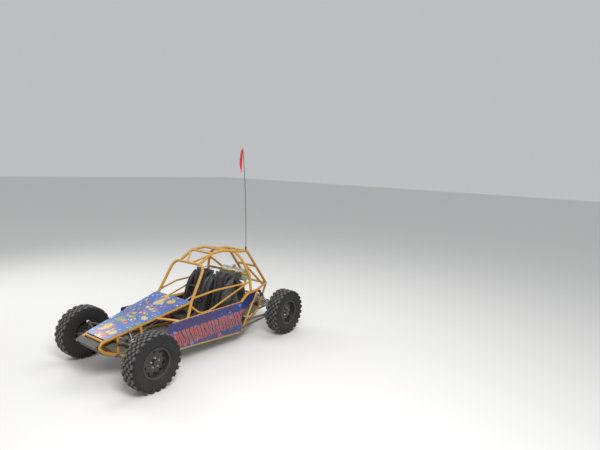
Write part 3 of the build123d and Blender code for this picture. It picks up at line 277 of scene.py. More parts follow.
# %% Build the wear group
wear, wear_in, wear_out = new_group(
    "wear",
    {"Colour": (0.5, 0.5, 0.5, 1), "Chip": (0.25, 0.23, 0.2, 1), "Blotch": 0.15, "Chips": 0.3, "Grain": 260.0},
    {"Colour": COLOUR, "Height": NUMBER},
)
wear_places = wear.nodes.new("ShaderNodeTexCoord").outputs["Object"]
slow = noise(wear, wear_places, 4.0, 4.0)
swing = times(wear, minus(wear, slow, 0.5), wear_in["Blotch"])
brightness = plus(wear, times(wear, swing, 4.0), 1.0)
shade = add(wear, "ShaderNodeHueSaturation", Color=wear_in["Colour"], Value=brightness)
flecks = noise(wear, wear_places, 55.0, 6.0, 0.7)
threshold = minus(wear, 0.78, times(wear, wear_in["Chips"], 0.18))
chipped = arithmetic(wear, "GREATER_THAN", flecks, threshold)
grain = noise(wear, wear_places, wear_in["Grain"], 2.0, 0.5)
plug(wear, wear_out, "Colour", mixed(wear, chipped, shade.outputs[0], wear_in["Chip"]))
plug(wear, wear_out, "Height", minus(wear, grain, times(wear, chipped, 0.5)))

# %% [markdown]
# A finish starts from one function: a Principled shader fed by a colour, the wear group and the dust group.
# Plain numbers that hold for the whole surface are written on the shader's own sockets.

# %% Make a dusty finish
COAT_ROUGHNESS = 0.15
BUMP_STRENGTH = 0.6


def finish(name, colour, rough=0.4, metal=0.0, coat=0.0, on_top=0.4, low_down=0.3, chip=(0.22, 0.2, 0.17, 1),
           chips=0.2, blotch=0.12, grain=260.0, bump=0.0004, height=None):
    """A worn, dusty material. The colour is plain, or a function that draws it in the material's tree."""
    material = bpy.data.materials.new(name)
    material.use_nodes = True
    tree = material.node_tree
    base = colour(tree) if callable(colour) else (*colour, 1)
    worn = add(tree, "ShaderNodeGroup", {"node_tree": wear}, Colour=base, Chip=chip, Blotch=blotch,
               Chips=chips, Grain=grain)
    dusty = add(tree, "ShaderNodeGroup", {"node_tree": dust}, Colour=worn.outputs["Colour"], Dust=DUST,
                On_Top=on_top, Low_Down=low_down, Roughness=rough)
    relief = worn.outputs["Height"] if height is None else height(tree, worn.outputs["Height"])
    bumped = add(tree, "ShaderNodeBump", Strength=BUMP_STRENGTH, Distance=bump, Height=relief)
    sockets = {"Base Color": dusty.outputs["Colour"], "Roughness": dusty.outputs["Roughness"], "Metallic": metal,
               "Coat Weight": coat, "Coat Roughness": COAT_ROUGHNESS, "Normal": bumped.outputs["Normal"]}
    for label, value in sockets.items():
        plug(tree, tree.nodes["Principled BSDF"], label, value)
    print("finish:", name)
    return material


# %% [markdown]
# ## Painted sheets
#
# The hood is sky blue and strewn with bright hand-painted splashes. They are drawn here as random cells: each
# cell's distance, shaken by noise, cuts a ragged splash, and its random number picks one of five paints.

# %% Mix the splashed hood paint
SKY_DEEP = (0.010, 0.075, 0.30, 1)
SKY_LIGHT = (0.030, 0.150, 0.46, 1)
BRIGHTS = [(0.62, 0.40, 0.02), (0.55, 0.12, 0.02), (0.42, 0.028, 0.04), (0.52, 0.44, 0.24), (0.20, 0.27, 0.04)]
SPECKS = [(0.85, 0.8, 0.6), (0.7, 0.4, 0.05), (0.55, 0.12, 0.2)]


def palette(tree, value, colours):
    """Steps of even width through a row of colours."""
    node = add(tree, "ShaderNodeValToRGB", Fac=value)
    node.color_ramp.interpolation = "CONSTANT"
    stops = node.color_ramp.elements
    while len(stops) < len(colours):
        stops.new(0.5)
    for index, colour in enumerate(colours):
        stops[index].position = index / len(colours)
        stops[index].color = (*colour, 1)
    return node.outputs["Color"]


def splashes(tree, ground, scale, size, offset, paints, where=1.0):
    """Ragged splashes of random paint over a ground colour, smaller where a mask is low."""
    coordinates = tree.nodes.new("ShaderNodeTexCoord").outputs["Object"]
    away = (offset, offset * 0.7, 0)
    moved = add(tree, "ShaderNodeMapping", Vector=coordinates, Location=away).outputs[0]
    shake = noise(tree, moved, scale * 3.2, 4.0, 0.65).node.outputs["Color"]
    pushed = add(tree, "ShaderNodeVectorMath", {"operation": "MULTIPLY_ADD"},
                 **{"0": shake, "1": (0.7 / scale,) * 3, "2": moved})
    cells = add(tree, "ShaderNodeTexVoronoi", Vector=pushed.outputs[0], Scale=scale)
    pick = add(tree, "ShaderNodeSeparateColor", Color=cells.outputs["Color"])
    radius = times(tree, times(tree, pick.outputs[1], size), where)
    inside = arithmetic(tree, "LESS_THAN", cells.outputs["Distance"], radius)
    return mixed(tree, inside, ground, palette(tree, pick.outputs[0], paints))


def hood_colour(tree):
    coordinates, split = object_places(tree)
    drift = noise(tree, coordinates, 2.6, 3.0)
    sky = mixed(tree, ramp(tree, drift, 0.3, 0.7), SKY_DEEP, SKY_LIGHT)
    middle = ramp(tree, arithmetic(tree, "ABSOLUTE", split[0]), 0.36, 0.10)
    large = splashes(tree, sky, 7.6, 0.74, 3.1, BRIGHTS, middle)
    small = splashes(tree, large, 14.5, 0.60, 7.7, BRIGHTS[::-1], middle)
    return splashes(tree, small, 22.0, 0.34, 1.3, SPECKS)


hood_paint = finish("hood_paint", hood_colour, rough=0.30, coat=0.5, on_top=0.05, low_down=0.0, chips=0.1,
                    bump=0.0002)
nodes["hood"].data.materials.clear()

# %% [markdown]
# The side sheets are darker, from blue to purple, with a long band of slanted red and orange strokes edged in
# cream. The blue, purple, red and orange are written darker than the paint itself: this is painted shade, so that
# the sheets look shaded however they are lit. A stroke is a stripe in Y, leaned over by Z. Noise bends its edges,
# as a brush would.

# %% Mix the side paint
BAND_LOW = 0.335
BAND_HIGH = 0.560
BAND_BLUR = 0.012
STROKES_PER_METRE = 14.5
STROKE_LEAN = 0.35
STROKE_HALF = 0.235
OUTLINE_HALF = 0.30
# painted shade: the blue and purple ground is written darker than the paint, as the sheets look in shade
SIDE_BLUE_IN_PAINTED_SHADE = (0.007, 0.024, 0.155, 1)
SIDE_PURPLE_IN_PAINTED_SHADE = (0.035, 0.016, 0.10, 1)
SIDE_DABS = [(0.05, 0.2, 0.6), (0.45, 0.05, 0.15), (0.6, 0.3, 0.05), (0.03, 0.1, 0.4)]
# painted shade: the red and orange strokes are written darker than the paint, as they look in shade
STROKE_RED_IN_PAINTED_SHADE = (0.30, 0.008, 0.010, 1)
STROKE_ORANGE_IN_PAINTED_SHADE = (0.50, 0.055, 0.015, 1)
STROKE_CREAM = (0.42, 0.24, 0.13, 1)


def side_colour_with_painted_shade(tree):
    coordinates, split = object_places(tree)
    wobble = noise(tree, coordinates, 9.0, 3.0)
    drift = noise(tree, coordinates, 3.0, 4.0)
    # the ground mixes the two darkened colours, so it carries painted shade
    ground = mixed(tree, ramp(tree, drift, 0.35, 0.65), SIDE_BLUE_IN_PAINTED_SHADE, SIDE_PURPLE_IN_PAINTED_SHADE)
    ground = splashes(tree, ground, 9.0, 0.34, 5.2, SIDE_DABS)
    along = plus(tree, split[1], times(tree, split[2], STROKE_LEAN))
    bent = plus(tree, along, times(tree, wobble, 0.09))
    stroke = arithmetic(tree, "PINGPONG", times(tree, bent, STROKES_PER_METRE), 0.5)
    height = plus(tree, split[2], times(tree, wobble, 0.05))
    bottom = ramp(tree, height, BAND_LOW, BAND_LOW + BAND_BLUR)
    band = times(tree, bottom, ramp(tree, height, BAND_HIGH + BAND_BLUR, BAND_HIGH))
    outline = times(tree, arithmetic(tree, "LESS_THAN", stroke, OUTLINE_HALF), band)
    body = times(tree, arithmetic(tree, "LESS_THAN", stroke, STROKE_HALF), band)
    # the strokes run from red at the bottom to orange at the top, both darkened as painted shade
    stroke_in_painted_shade = mixed(tree, ramp(tree, split[2], BAND_LOW, BAND_HIGH), STROKE_RED_IN_PAINTED_SHADE, STROKE_ORANGE_IN_PAINTED_SHADE)
    return mixed(tree, body, mixed(tree, outline, ground, STROKE_CREAM), stroke_in_painted_shade)


# this paint carries painted shade in its ground and strokes
side_paint = finish("side_paint", side_colour_with_painted_shade, rough=0.42, coat=0.15, on_top=0.2, low_down=0.20, chips=0.25,
                    bump=0.0003)

# %% [markdown]
# ## Metals, rubber and cloth
#
# The frame is golden yellow. The floor is bare aluminium, dulled by sand, and the nose skid is a near-black metal
# with many light chips. Castings, the exhaust and the chromed filters are metals with their own roughness, and
# tyres and seats are black with brown dust.

# %% Mix the plain finishes
GOLD = (0.50, 0.245, 0.018)
gold_paint = finish("gold_paint", GOLD, rough=0.36, coat=0.25, on_top=0.10, low_down=0.30, chips=0.25,
                    blotch=0.10)
aluminium = finish("worn_aluminium", (0.46, 0.48, 0.43), rough=0.42, metal=0.75, on_top=0.35, low_down=0.30,
                   chip=(0.2, 0.2, 0.17, 1), chips=0.7, blotch=0.30, bump=0.0008)
skid_plate = finish("skid_plate", (0.040, 0.046, 0.040), rough=0.50, metal=0.25, on_top=0.14, low_down=0.20,
                    chip=(0.30, 0.31, 0.27, 1), chips=0.9, blotch=0.35, bump=0.0009)
black_metal = finish("black_metal", (0.022, 0.022, 0.024), rough=0.42, on_top=0.35, low_down=0.35)
steel = finish("machined_steel", (0.50, 0.50, 0.49), rough=0.30, metal=1.0, on_top=0.25, low_down=0.25)
cast = finish("cast_alloy", (0.36, 0.36, 0.34), rough=0.55, metal=0.8, on_top=0.35, low_down=0.35, bump=0.0012,
              grain=420)
chrome = finish("chrome", (0.78, 0.78, 0.78), rough=0.10, metal=1.0, on_top=0.10, low_down=0.05, chips=0.0)
exhaust_steel = finish("hot_steel", (0.25, 0.17, 0.11), rough=0.5, metal=0.85, on_top=0.3, chips=0.8,
                       chip=(0.12, 0.06, 0.03, 1), blotch=0.4)
rim_paint = finish("rim_paint", (0.014, 0.014, 0.015), rough=0.36, coat=0.1, on_top=0.12, low_down=0.12, chips=0.3,
                   chip=(0.2, 0.19, 0.17, 1))
black_gloss = finish("black_gloss", (0.02, 0.02, 0.022), rough=0.25, coat=0.4, on_top=0.2, low_down=0.2)
whip_gloss = finish("whip_gloss", (0.02, 0.02, 0.02), rough=0.25, coat=0.5, on_top=0.0, low_down=0.0)
spring_paint = finish("spring_paint", (0.55, 0.55, 0.53), rough=0.35, coat=0.3, on_top=0.3)
grip_rubber = finish("grip_rubber", (0.02, 0.02, 0.02), rough=0.7, on_top=0.1, bump=0.001, grain=500)
seat_vinyl = finish("seat_vinyl", (0.027, 0.027, 0.028), rough=0.50, on_top=0.07, low_down=0.05, chips=0.0,
                    bump=0.0006, grain=330)

# %% [markdown]
# A tyre is nearly black in its grooves and grey-brown on its lugs, where sand has dulled it. The distance from
# the wheel's axle decides: the further out, the dustier. Each tyre gets the height of its own axle line.

# %% Mix the tyre rubber
def tyre_rubber(name, axle_y):
    """Rubber that turns dusty towards the tread of the wheel on one axle. Wheels stand on the ground, at Z 0."""

    def colour(tree):
        coordinates, split = object_places(tree)
        back = minus(tree, split[1], axle_y)
        high = minus(tree, split[2], AXLE_Z)
        radius = arithmetic(tree, "SQRT", plus(tree, times(tree, back, back), times(tree, high, high)))
        patches = noise(tree, coordinates, 26.0, 5.0, 0.7)
        tread = ramp(tree, radius, AXLE_Z - 0.020, AXLE_Z - 0.003)
        outer = times(tree, tread, ramp(tree, patches, 0.2, 0.55))
        return mixed(tree, outer, (0.010, 0.010, 0.011, 1), (0.125, 0.123, 0.118, 1))

    return finish(name, colour, rough=0.78, on_top=0.06, low_down=0.05, chips=0.0, bump=0.0008, grain=380)


front_rubber = tyre_rubber("front_tyre_rubber", FRONT_AXLE_Y)
rear_rubber = tyre_rubber("rear_tyre_rubber", REAR_AXLE_Y)

# %% [markdown]
# ## Dress the solids that stay
#
# A solid's own mesh may not change, but modifiers and materials may. Weld joins its loose triangles, and Edge
# Split with smooth faces then shades tubes round and keeps corners crisp.

# %% Give the solids their finishes
FINISHES = {
    gold_paint: ["lower_rails", "side_rails", "hood_rails", "windscreen_hoop", "main_hoop", "roof_rails",
                 "rear_stays", "roof_bars", "door_tubes", "cross_bars", "nose_posts", "rear_bars", "tow_bar"],
    hood_paint: ["hood"],
    side_paint: ["side_panels", "rear_panels"],
    skid_plate: ["nose_skid"],
    aluminium: ["floor_pan", "dash", "firewall", "fuel_tank", "seat_feet"],
    black_metal: ["front_arms", "rear_arms", "steering_rack", "knuckle_left", "knuckle_right", "cooling_shroud"],
    steel: ["rack_housing", "steering_shaft", "half_shaft_left", "half_shaft_right"],
    grip_rubber: ["steering_wheel"],
    cast: ["transaxle", "engine_block", "engine_banks"],
    chrome: ["intakes"],
    exhaust_steel: ["exhaust"],
    rim_paint: ["rim_front_left", "rim_front_right", "rim_rear_left", "rim_rear_right"],
    whip_gloss: ["whip"],
}


def modify(piece, name, kind, **settings):
    """A new modifier on a piece, with its settings."""
    modifier = piece.modifiers.new(name, kind)
    for key, value in settings.items():
        setattr(modifier, key, value)


def dress(node, material):
    """Give a carried-over solid its finish and smooth shading with crisp corners."""
    solid = nodes[node]
    solid.data.materials.clear()
    solid.data.materials.append(material)
    for polygon in solid.data.polygons:
        polygon.use_smooth = True
    modify(solid, "weld", "WELD", merge_threshold=0.00001)
    modify(solid, "crisp", "EDGE_SPLIT", split_angle=math.radians(32))


for material, names in FINISHES.items():
    for name in names:
        dress(name, material)
print("dressed", sum(len(names) for names in FINISHES.values()), "solids")

# %% [markdown]
# ## Turn a bmesh into a piece
#
# Every new piece ends the same way: normals made outward, the mesh stored on an object at the origin, smooth
# shading with crisp corners, a finish, and the body that it rides on.

# %% Finish a new piece
def new_piece(name, shape, material, body="chassis", crisp=35):
    """Store a bmesh as a piece that rides on a body."""
    bmesh.ops.recalc_face_normals(shape, faces=shape.faces)
    mesh = stored(name, shape)
    for polygon in mesh.polygons:
        polygon.use_smooth = True
    mesh.set_sharp_from_angle(angle=math.radians(crisp))
    mesh.materials.append(material)
    piece = placed(name, mesh)
    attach(piece, body)
    print(name, "faces:", len(mesh.polygons))
    return piece


# %% Write the bmesh helpers
def move(shape, way, verts=None):
    """Move a bmesh, or some of its points."""
    bmesh.ops.translate(shape, verts=shape.verts if verts is None else verts, vec=way)


def turn(shape, verts, angle, axis):
    """Turn points about an axis through the origin."""
    bmesh.ops.rotate(shape, verts=verts, matrix=Matrix.Rotation(angle, 3, axis))


def bevel(shape, edges, offset, segments=1):
    return bmesh.ops.bevel(shape, geom=edges, offset=offset, segments=segments, profile=0.5, affect="EDGES",
                           material=-1)


def faces_at(verts):
    return list({face for vertex in verts for face in vertex.link_faces})


def spun(profile, steps):
    """A ring from a closed profile of (offset along X, radius), spun about the X axis."""
    shape = bmesh.new()
    corners = [shape.verts.new((offset, 0, radius)) for offset, radius in profile]
    edges = [shape.edges.new(pair) for pair in zip(corners, corners[1:] + corners[:1])]
    bmesh.ops.spin(shape, geom=corners + edges, axis=(1, 0, 0), angle=math.tau, steps=steps, use_merge=True)
    return shape


# %% [markdown]
# ## Tyres
#
# A sand tyre for the front and rear has staggered square lugs and big shoulder lugs that wrap on to the side
# wall. The carcass is one spun ring. A lug is a bevelled block, narrower at its tip, and a row is made by
# spinning copies of it round the axle.

# %% Build the tyres
CARCASS_DROP = 0.018
LUG_PITCHES = 24
LUG_TAPER = 0.80
LUG_BEVEL = 0.0016


def carcass(half, radius):
    """The ring under the lugs, from bead to bead, with ribs on its side walls."""
    low = radius - CARCASS_DROP
    side = [
        (RIM_HALF - 0.008, BEAD_R + 0.003),
        (RIM_HALF - 0.008, BEAD_R + 0.018),
        (RIM_HALF + 0.002, BEAD_R + 0.026),
        (half * 0.90, BEAD_R + 0.042),
        (half * 0.925, BEAD_R + 0.045),
        (half * 0.93, BEAD_R + 0.051),
        (half * 0.955, BEAD_R + 0.060),
        (half * 0.985, radius * 0.735),
        (half * 0.990, radius * 0.79),
        (half * 0.975, radius * 0.845),
        (half * 0.945, radius * 0.885),
        (half * 0.90, low - 0.018),
        (half * 0.80, low - 0.005),
        (half * 0.45, low),
    ]
    return spun(side + [(-offset, r) for offset, r in side[::-1]], 96)


def lug_row(shape, size, offset, radius, phase, yaw, tilt):
    """One row of lugs round the tyre, each a bevelled block that narrows towards its tip."""
    lug = bmesh.ops.create_cube(shape, size=1.0)["verts"]
    bmesh.ops.scale(shape, verts=lug, vec=size)
    tip = [vertex for vertex in lug if vertex.co.z > 0]
    bmesh.ops.scale(shape, verts=tip, vec=(LUG_TAPER, LUG_TAPER, 1))
    cut = bevel(shape, list({edge for vertex in tip for edge in vertex.link_edges}), LUG_BEVEL)["faces"]
    lug = list({vertex for face in cut for vertex in face.verts} | {v for v in lug if v.is_valid})
    turn(shape, lug, yaw, "Z")
    turn(shape, lug, tilt, "Y")
    move(shape, (offset, 0, radius - size[2] / 2), lug)
    turn(shape, lug, phase, "X")
    others = LUG_PITCHES - 1
    bmesh.ops.spin(shape, geom=faces_at(lug), axis=(1, 0, 0), angle=math.tau * others / LUG_PITCHES,
                   steps=others, use_duplicate=True)


# width, length, height, share of the half width, drop below the tread, side of the pitch, yaw, tilt
LUG_ROWS = [
    (0.032, 0.056, 0.024, 0.18, 0.000, 1, 0.35, 0.0),
    (0.034, 0.052, 0.024, 0.49, 0.001, -1, -0.30, 0.0),
    (0.042, 0.060, 0.028, 0.81, 0.005, 1, 0.0, 0.30),
    (0.034, 0.036, 0.013, 0.955, 0.029, 1, 0.0, 1.15),
]


def tyre(half, radius):
    """The carcass and its rows of lugs, centred on the origin with its axle along X."""
    shape = carcass(half, radius)
    pitch = math.tau / LUG_PITCHES
    for side in (1, -1):
        for *size, share, drop, step, yaw, tilt in LUG_ROWS:
            lug_row(shape, size, side * half * share, radius - drop, side * step * pitch / 4, side * yaw,
                    side * tilt)
    return shape


SIDES = {"left": 1, "right": -1}
# half track, axle's Y, half width and rubber of the wheels at each end
AXLES = {
    "front": (FRONT_HALF_TRACK, FRONT_AXLE_Y, 0.1175, front_rubber),
    "rear": (REAR_HALF_TRACK, REAR_AXLE_Y, 0.125, rear_rubber),
}
WHEELS = {f"{end}_{side}": (sign * reach, y, half, rubber)
          for end, (reach, y, half, rubber) in AXLES.items() for side, sign in SIDES.items()}
for corner, (x, y, half, rubber) in WHEELS.items():
    shape = tyre(half, AXLE_Z)
    move(shape, (x, y, AXLE_Z))
    tyre_piece = new_piece(f"knobbly_tyre_{corner}", shape, rubber, f"wheel_{corner}")
    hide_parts(f"tyre_{corner}")
print("lugs on a tyre:", LUG_PITCHES * len(LUG_ROWS) * 2)

# %% [markdown]
# ## Hub trim
#
# Five nuts hold each wheel. A nut is a six-sided cone with a flange, and the five are spun copies of the first.

# %% Build the hub trim
NUT_CIRCLE_R = 0.062


def aim(shape, verts, direction):
    """Turn points so that what looked up looks along a direction."""
    bmesh.ops.rotate(shape, verts=verts, matrix=Vector(direction).to_track_quat("Z", "Y").to_matrix())


def rod(shape, start, end, radius, sides=16, tip_radius=None):
    """A round bar or cone between two points, added to a bmesh."""
    run = Vector(end) - Vector(start)
    tip_radius = radius if tip_radius is None else tip_radius
    made = bmesh.ops.create_cone(shape, cap_ends=True, segments=sides, radius1=radius, radius2=tip_radius,
                                 depth=run.length)["verts"]
    aim(shape, made, run)
    move(shape, (Vector(start) + Vector(end)) / 2, made)
    return made


for corner, (x, y, half, rubber) in WHEELS.items():
    shape = bmesh.new()
    foot, flange, top = [(math.copysign(reach, x), 0, NUT_CIRCLE_R) for reach in (0.042, 0.048, 0.066)]
    nut = rod(shape, foot, flange, 0.014, 18)
    nut += rod(shape, foot, top, 0.0115, 6, 0.010)
    bmesh.ops.spin(shape, geom=faces_at(nut), axis=(1, 0, 0), angle=math.tau * 0.8, steps=4, use_duplicate=True)
    move(shape, (x, y, AXLE_Z))
    new_piece(f"wheel_nuts_{corner}", shape, steel, f"wheel_{corner}")

# %% [markdown]
# ## Coil-over dampers
#
# Each damper is a bright rod that slides into a body, with a coil spring round both between two seats. A spring is
# a small circle spun about the damper's axis while every step also moves it along: the operator takes that move
# as dvec. All parts are made upright on the origin, then turned and moved on to their damper's own line.

# %% Name the dampers' ends
# foot and head of the left-hand dampers, and the diameter of the spring
DAMPERS = [
    ((0.545, -1.3588, 0.294), (0.2943, -1.3388, 0.6292), 0.064),
    ((0.596, 1.2612, 0.361), (0.4766, 1.0712, 0.7518), 0.066),
]
SPRING_WIRE_R = 0.0052
SPRING_TURNS = 8
SPRING_START = 0.20
SPRING_END = 0.80
STEPS_PER_TURN = 20


def lay_on(shape, verts, foot, head):
    """Turn and move what was made upright on the origin on to the line from foot to head."""
    aim(shape, verts, Vector(head) - Vector(foot))
    move(shape, foot, verts)


def each_damper():
    """The foot, head and spring diameter of all four dampers."""
    for foot, head, across in DAMPERS:
        for side in (1, -1):
            yield (side * foot[0], *foot[1:]), (side * head[0], *head[1:]), across


# %% Wind the springs
springs = bmesh.new()
for foot, head, across in each_damper():
    length = (Vector(head) - Vector(foot)).length
    low, high = length * SPRING_START, length * SPRING_END
    wire = bmesh.ops.create_circle(springs, cap_ends=True, segments=8, radius=SPRING_WIRE_R)["verts"]
    turn(springs, wire, math.pi / 2, "X")
    move(springs, (across / 2 - SPRING_WIRE_R, 0, low + SPRING_WIRE_R), wire)
    before = set(springs.verts) - set(wire)
    steps = SPRING_TURNS * STEPS_PER_TURN
    climb = (high - low - 2 * SPRING_WIRE_R) / steps
    bmesh.ops.spin(springs, geom=faces_at(wire), axis=(0, 0, 1), dvec=(0, 0, climb), angle=math.tau * SPRING_TURNS,
                   steps=steps)
    lay_on(springs, list(set(springs.verts) - before), foot, head)
spring_piece = new_piece("coil_springs", springs, spring_paint, crisp=50)
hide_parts("dampers")
print("spring turns in all:", 4 * SPRING_TURNS)


# %% Build the damper bodies and rods
def stack(shape, rows, foot, head, sides=24):
    """Round pieces along a damper: each row is start, end, radius and end radius, as shares and metres."""
    length = (Vector(head) - Vector(foot)).length
    made = []
    for start, end, *radii in rows:
        made += rod(shape, (0, 0, start * length), (0, 0, end * length), radii[0], sides, radii[-1])
    lay_on(shape, made, foot, head)


tubes = bmesh.new()
rods = bmesh.new()
for foot, head, across in each_damper():
    stack(tubes, [
        (0.47, 0.985, 0.0215),
        (0.455, 0.47, 0.017, 0.0215),
        (SPRING_END, SPRING_END + 0.022, across / 2 + 0.002),
        (SPRING_END + 0.024, SPRING_END + 0.050, across / 2 - 0.003),
        (SPRING_START - 0.022, SPRING_START, across / 2 + 0.002),
        (0.07, SPRING_START - 0.020, 0.012, 0.018),
    ], foot, head)
    stack(rods, [(0.03, 0.48, 0.0075)], foot, head, 16)
    for x, y, z in (foot, head):
        rod(tubes, (x, y - 0.020, z), (x, y + 0.020, z), 0.021, 24)
        rod(rods, (x, y - 0.029, z), (x, y + 0.029, z), 0.0065, 12)
        for reach in (-0.029, 0.023):
            rod(rods, (x, y + reach, z), (x, y + reach + 0.006, z), 0.0115, 6)
new_piece("damper_bodies", tubes, black_gloss)
new_piece("damper_rods", rods, chrome)

# %% [markdown]
# ## Seats
#
# A bucket seat is a moulded shell that holds separate cushions: one to sit on, one at the back and a bolster along
# each side. A stuffed cushion bulges between its edges. That is done as it happens: a plain block is remeshed
# into even squares, then a cloth simulation blows it up a little, and a cap keeps each point near its start.

# %% Write the cushion helpers
SEAT_X = 0.235
# outlines seen from the side, as Y and Z in metres
BASE_PAD = [(-0.112, 0.328), (-0.112, 0.408), (0.190, 0.388), (0.215, 0.310)]
BACK_PAD = [(0.205, 0.392), (0.384, 1.112), (0.462, 1.112), (0.290, 0.392)]
BOLSTER = [(-0.098, 0.330), (-0.098, 0.458), (0.122, 0.458), (0.232, 0.868), (0.376, 1.058), (0.462, 1.058),
           (0.275, 0.330)]
PAD_HALF = 0.148
BOLSTER_IN = 0.157
BOLSTER_OUT = 0.205
CLOTH_SQUARE = 0.009
AIR_PRESSURE = 4.0
AIR_FRAMES = 20


def rounded(points, rounds=2):
    """A closed outline with each corner cut at its quarter points, round after round."""
    for step in range(rounds):
        cut = []
        for (ay, az), (by, bz) in zip(points, points[1:] + points[:1]):
            cut += [(ay * near + by * (1 - near), az * near + bz * (1 - near)) for near in (0.75, 0.25)]
        points = cut
    return points


def points_in(geometry):
    return [part for part in geometry if isinstance(part, bmesh.types.BMVert)]


def slab(outline, x_from, x_to):
    """A side outline carried across in X, as a closed bmesh."""
    shape = bmesh.new()
    corners = [shape.verts.new((x_from, y, z)) for y, z in outline]
    carried = bmesh.ops.extrude_face_region(shape, geom=[shape.faces.new(corners)])["geom"]
    move(shape, (x_to - x_from, 0, 0), points_in(carried))
    bmesh.ops.recalc_face_normals(shape, faces=shape.faces)
    return shape


def worked(piece):
    """A new mesh with the piece's modifiers worked in."""
    return bpy.data.meshes.new_from_object(piece.evaluated_get(bpy.context.evaluated_depsgraph_get()))


def eased(mesh, rounds=10):
    """The mesh with its small creases drawn flat, as taut vinyl lies."""
    shape = bmesh.new()
    shape.from_mesh(mesh)
    for step in range(rounds):
        bmesh.ops.smooth_vert(shape, verts=shape.verts, factor=0.5, use_axis_x=True, use_axis_y=True,
                              use_axis_z=True)
    shape.to_mesh(mesh)
    shape.free()
    return mesh


def puffed(shape, cap=0.011):
    """A bmesh block blown up to a soft cushion. Its mesh comes back without modifiers."""
    bevel(shape, shape.edges[:], 0.014, 2)
    block = placed("puffed", stored("puffed", shape))
    modify(block, "squares", "REMESH", mode="VOXEL", voxel_size=CLOTH_SQUARE)
    block.data = worked(block)
    block.modifiers.clear()
    start = [vertex.co.copy() for vertex in block.data.vertices]
    air = block.modifiers.new("air", "CLOTH")
    air.settings.use_pressure = True
    air.settings.uniform_pressure_force = AIR_PRESSURE
    air.settings.effector_weights.gravity = 0
    for step in range(AIR_FRAMES):
        scene.frame_set(step + 1)
    blown = worked(block)
    scene.frame_set(1)
    block.modifiers.clear()
    for vertex, old in zip(blown.vertices, start):
        way = vertex.co - old
        vertex.co = old + way * min(1.0, cap / max(way.length, 1e-6))
    block.data = eased(blown)
    done = block.data
    bpy.data.objects.remove(block)
    return done


# %% [markdown]
# Sewn channels are lines where a thread pulls the cover down. After the blowing up, points near a line sink along
# the cover's own normal, less and less with their distance from it.

# %% Blow up and sew the cushions
SEAM_DEPTH = 0.009
SEAM_WIDTH = 0.007
BASE_SEAMS = [-0.045, 0.02, 0.085, 0.15]
BACK_SEAMS = [0.10, 0.19, 0.28, 0.37, 0.50]


def sew(mesh, lines, direction):
    """Sink the points of a mesh near each line, where a direction's coordinate equals the line's value."""
    for vertex in mesh.vertices:
        place = vertex.co.dot(direction)
        for line in lines:
            vertex.co -= vertex.normal * (SEAM_DEPTH * math.exp(-((place - line) / SEAM_WIDTH) ** 2))


(low_y, low_z), (high_y, high_z) = BACK_PAD[:2]
up_back = Vector((0, high_y - low_y, high_z - low_z)).normalized()
back_low = Vector((0, low_y, low_z)).dot(up_back)
base = puffed(slab(BASE_PAD, -PAD_HALF, PAD_HALF))
sew(base, BASE_SEAMS, Vector((0, 1, 0)))
back = puffed(slab(BACK_PAD, -PAD_HALF, PAD_HALF))
sew(back, [back_low + step for step in BACK_SEAMS], up_back)
bolster = puffed(slab(rounded(BOLSTER), BOLSTER_IN, BOLSTER_OUT), cap=0.006)
print("cushion faces:", len(base.polygons), len(back.polygons), len(bolster.polygons))

# %% Cover the cushions
CUSHIONS = {"base": (base, 1), "back": (back, 1), "bolster_left": (bolster, 1), "bolster_right": (bolster, -1)}
SEATS = {side: sign * SEAT_X for side, sign in SIDES.items()}
for side, centre_x in SEATS.items():
    for name, (mesh, flip) in CUSHIONS.items():
        shape = bmesh.new()
        shape.from_mesh(mesh)
        bmesh.ops.scale(shape, verts=shape.verts, vec=(flip, 1, 1))
        move(shape, (centre_x, 0, 0))
        cushion = new_piece(f"seat_{name}_of_{side}_seat", shape, seat_vinyl, crisp=180)
        modify(cushion, "smooth", "SUBSURF", levels=1, render_levels=1)
        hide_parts("seats")

# %% [markdown]
# The shell is one sheet that runs under the base and up the back, between two side walls. Its edges are beveled
# so that light catches them.

# %% Mould the seat shells
SHELL_LINE = [(-0.118, 0.318), (0.10, 0.300), (0.235, 0.291), (0.290, 0.312), (0.325, 0.40), (0.4855, 1.124)]
SHELL_T = 0.005
SHELL_HALF = 0.212
SHELL_WALLS = (-0.2145, 0.2085)
SHELL_WALL_T = 0.006
SHELL_SIDE = [(-0.118, 0.318), (-0.118, 0.395), (0.075, 0.425), (0.170, 0.60), (0.270, 0.93), (0.425, 1.085),
              (0.478, 1.085), (0.325, 0.40), (0.290, 0.312), (0.235, 0.291)]
shell_paint = finish("shell_grey", (0.060, 0.062, 0.065), rough=0.35, coat=0.2, on_top=0.3, low_down=0.2, chips=0.2)


def join(shape, other):
    """Add one bmesh's faces to another."""
    holder = stored("joined", other)
    shape.from_mesh(holder)
    bpy.data.meshes.remove(holder)


for side, centre_x in SEATS.items():
    inner = [(y - SHELL_T * 0.9, z + SHELL_T) for y, z in SHELL_LINE]
    sheet = slab(SHELL_LINE + inner[::-1], centre_x - SHELL_HALF, centre_x + SHELL_HALF)
    bevel(sheet, sheet.edges[:], 0.0018)
    shell = bmesh.new()
    join(shell, sheet)
    for wall in SHELL_WALLS:
        join(shell, slab(rounded(SHELL_SIDE), centre_x + wall, centre_x + wall + SHELL_WALL_T))
    new_piece(f"seat_shell_{side}", shell, shell_paint)

# %% [markdown]
# ## Harness
#
# Each seat has two shoulder straps that come from the bar behind it and two lap straps, all meeting at a round
# buckle. Webbing is flat, so a strap is a row of short crosswise edges, extruded from place to place along its run.

# %% Weave the webbing
STRAP_W = 0.046
STRAP_T = 0.0022
RIBS_PER_METRE = 700.0


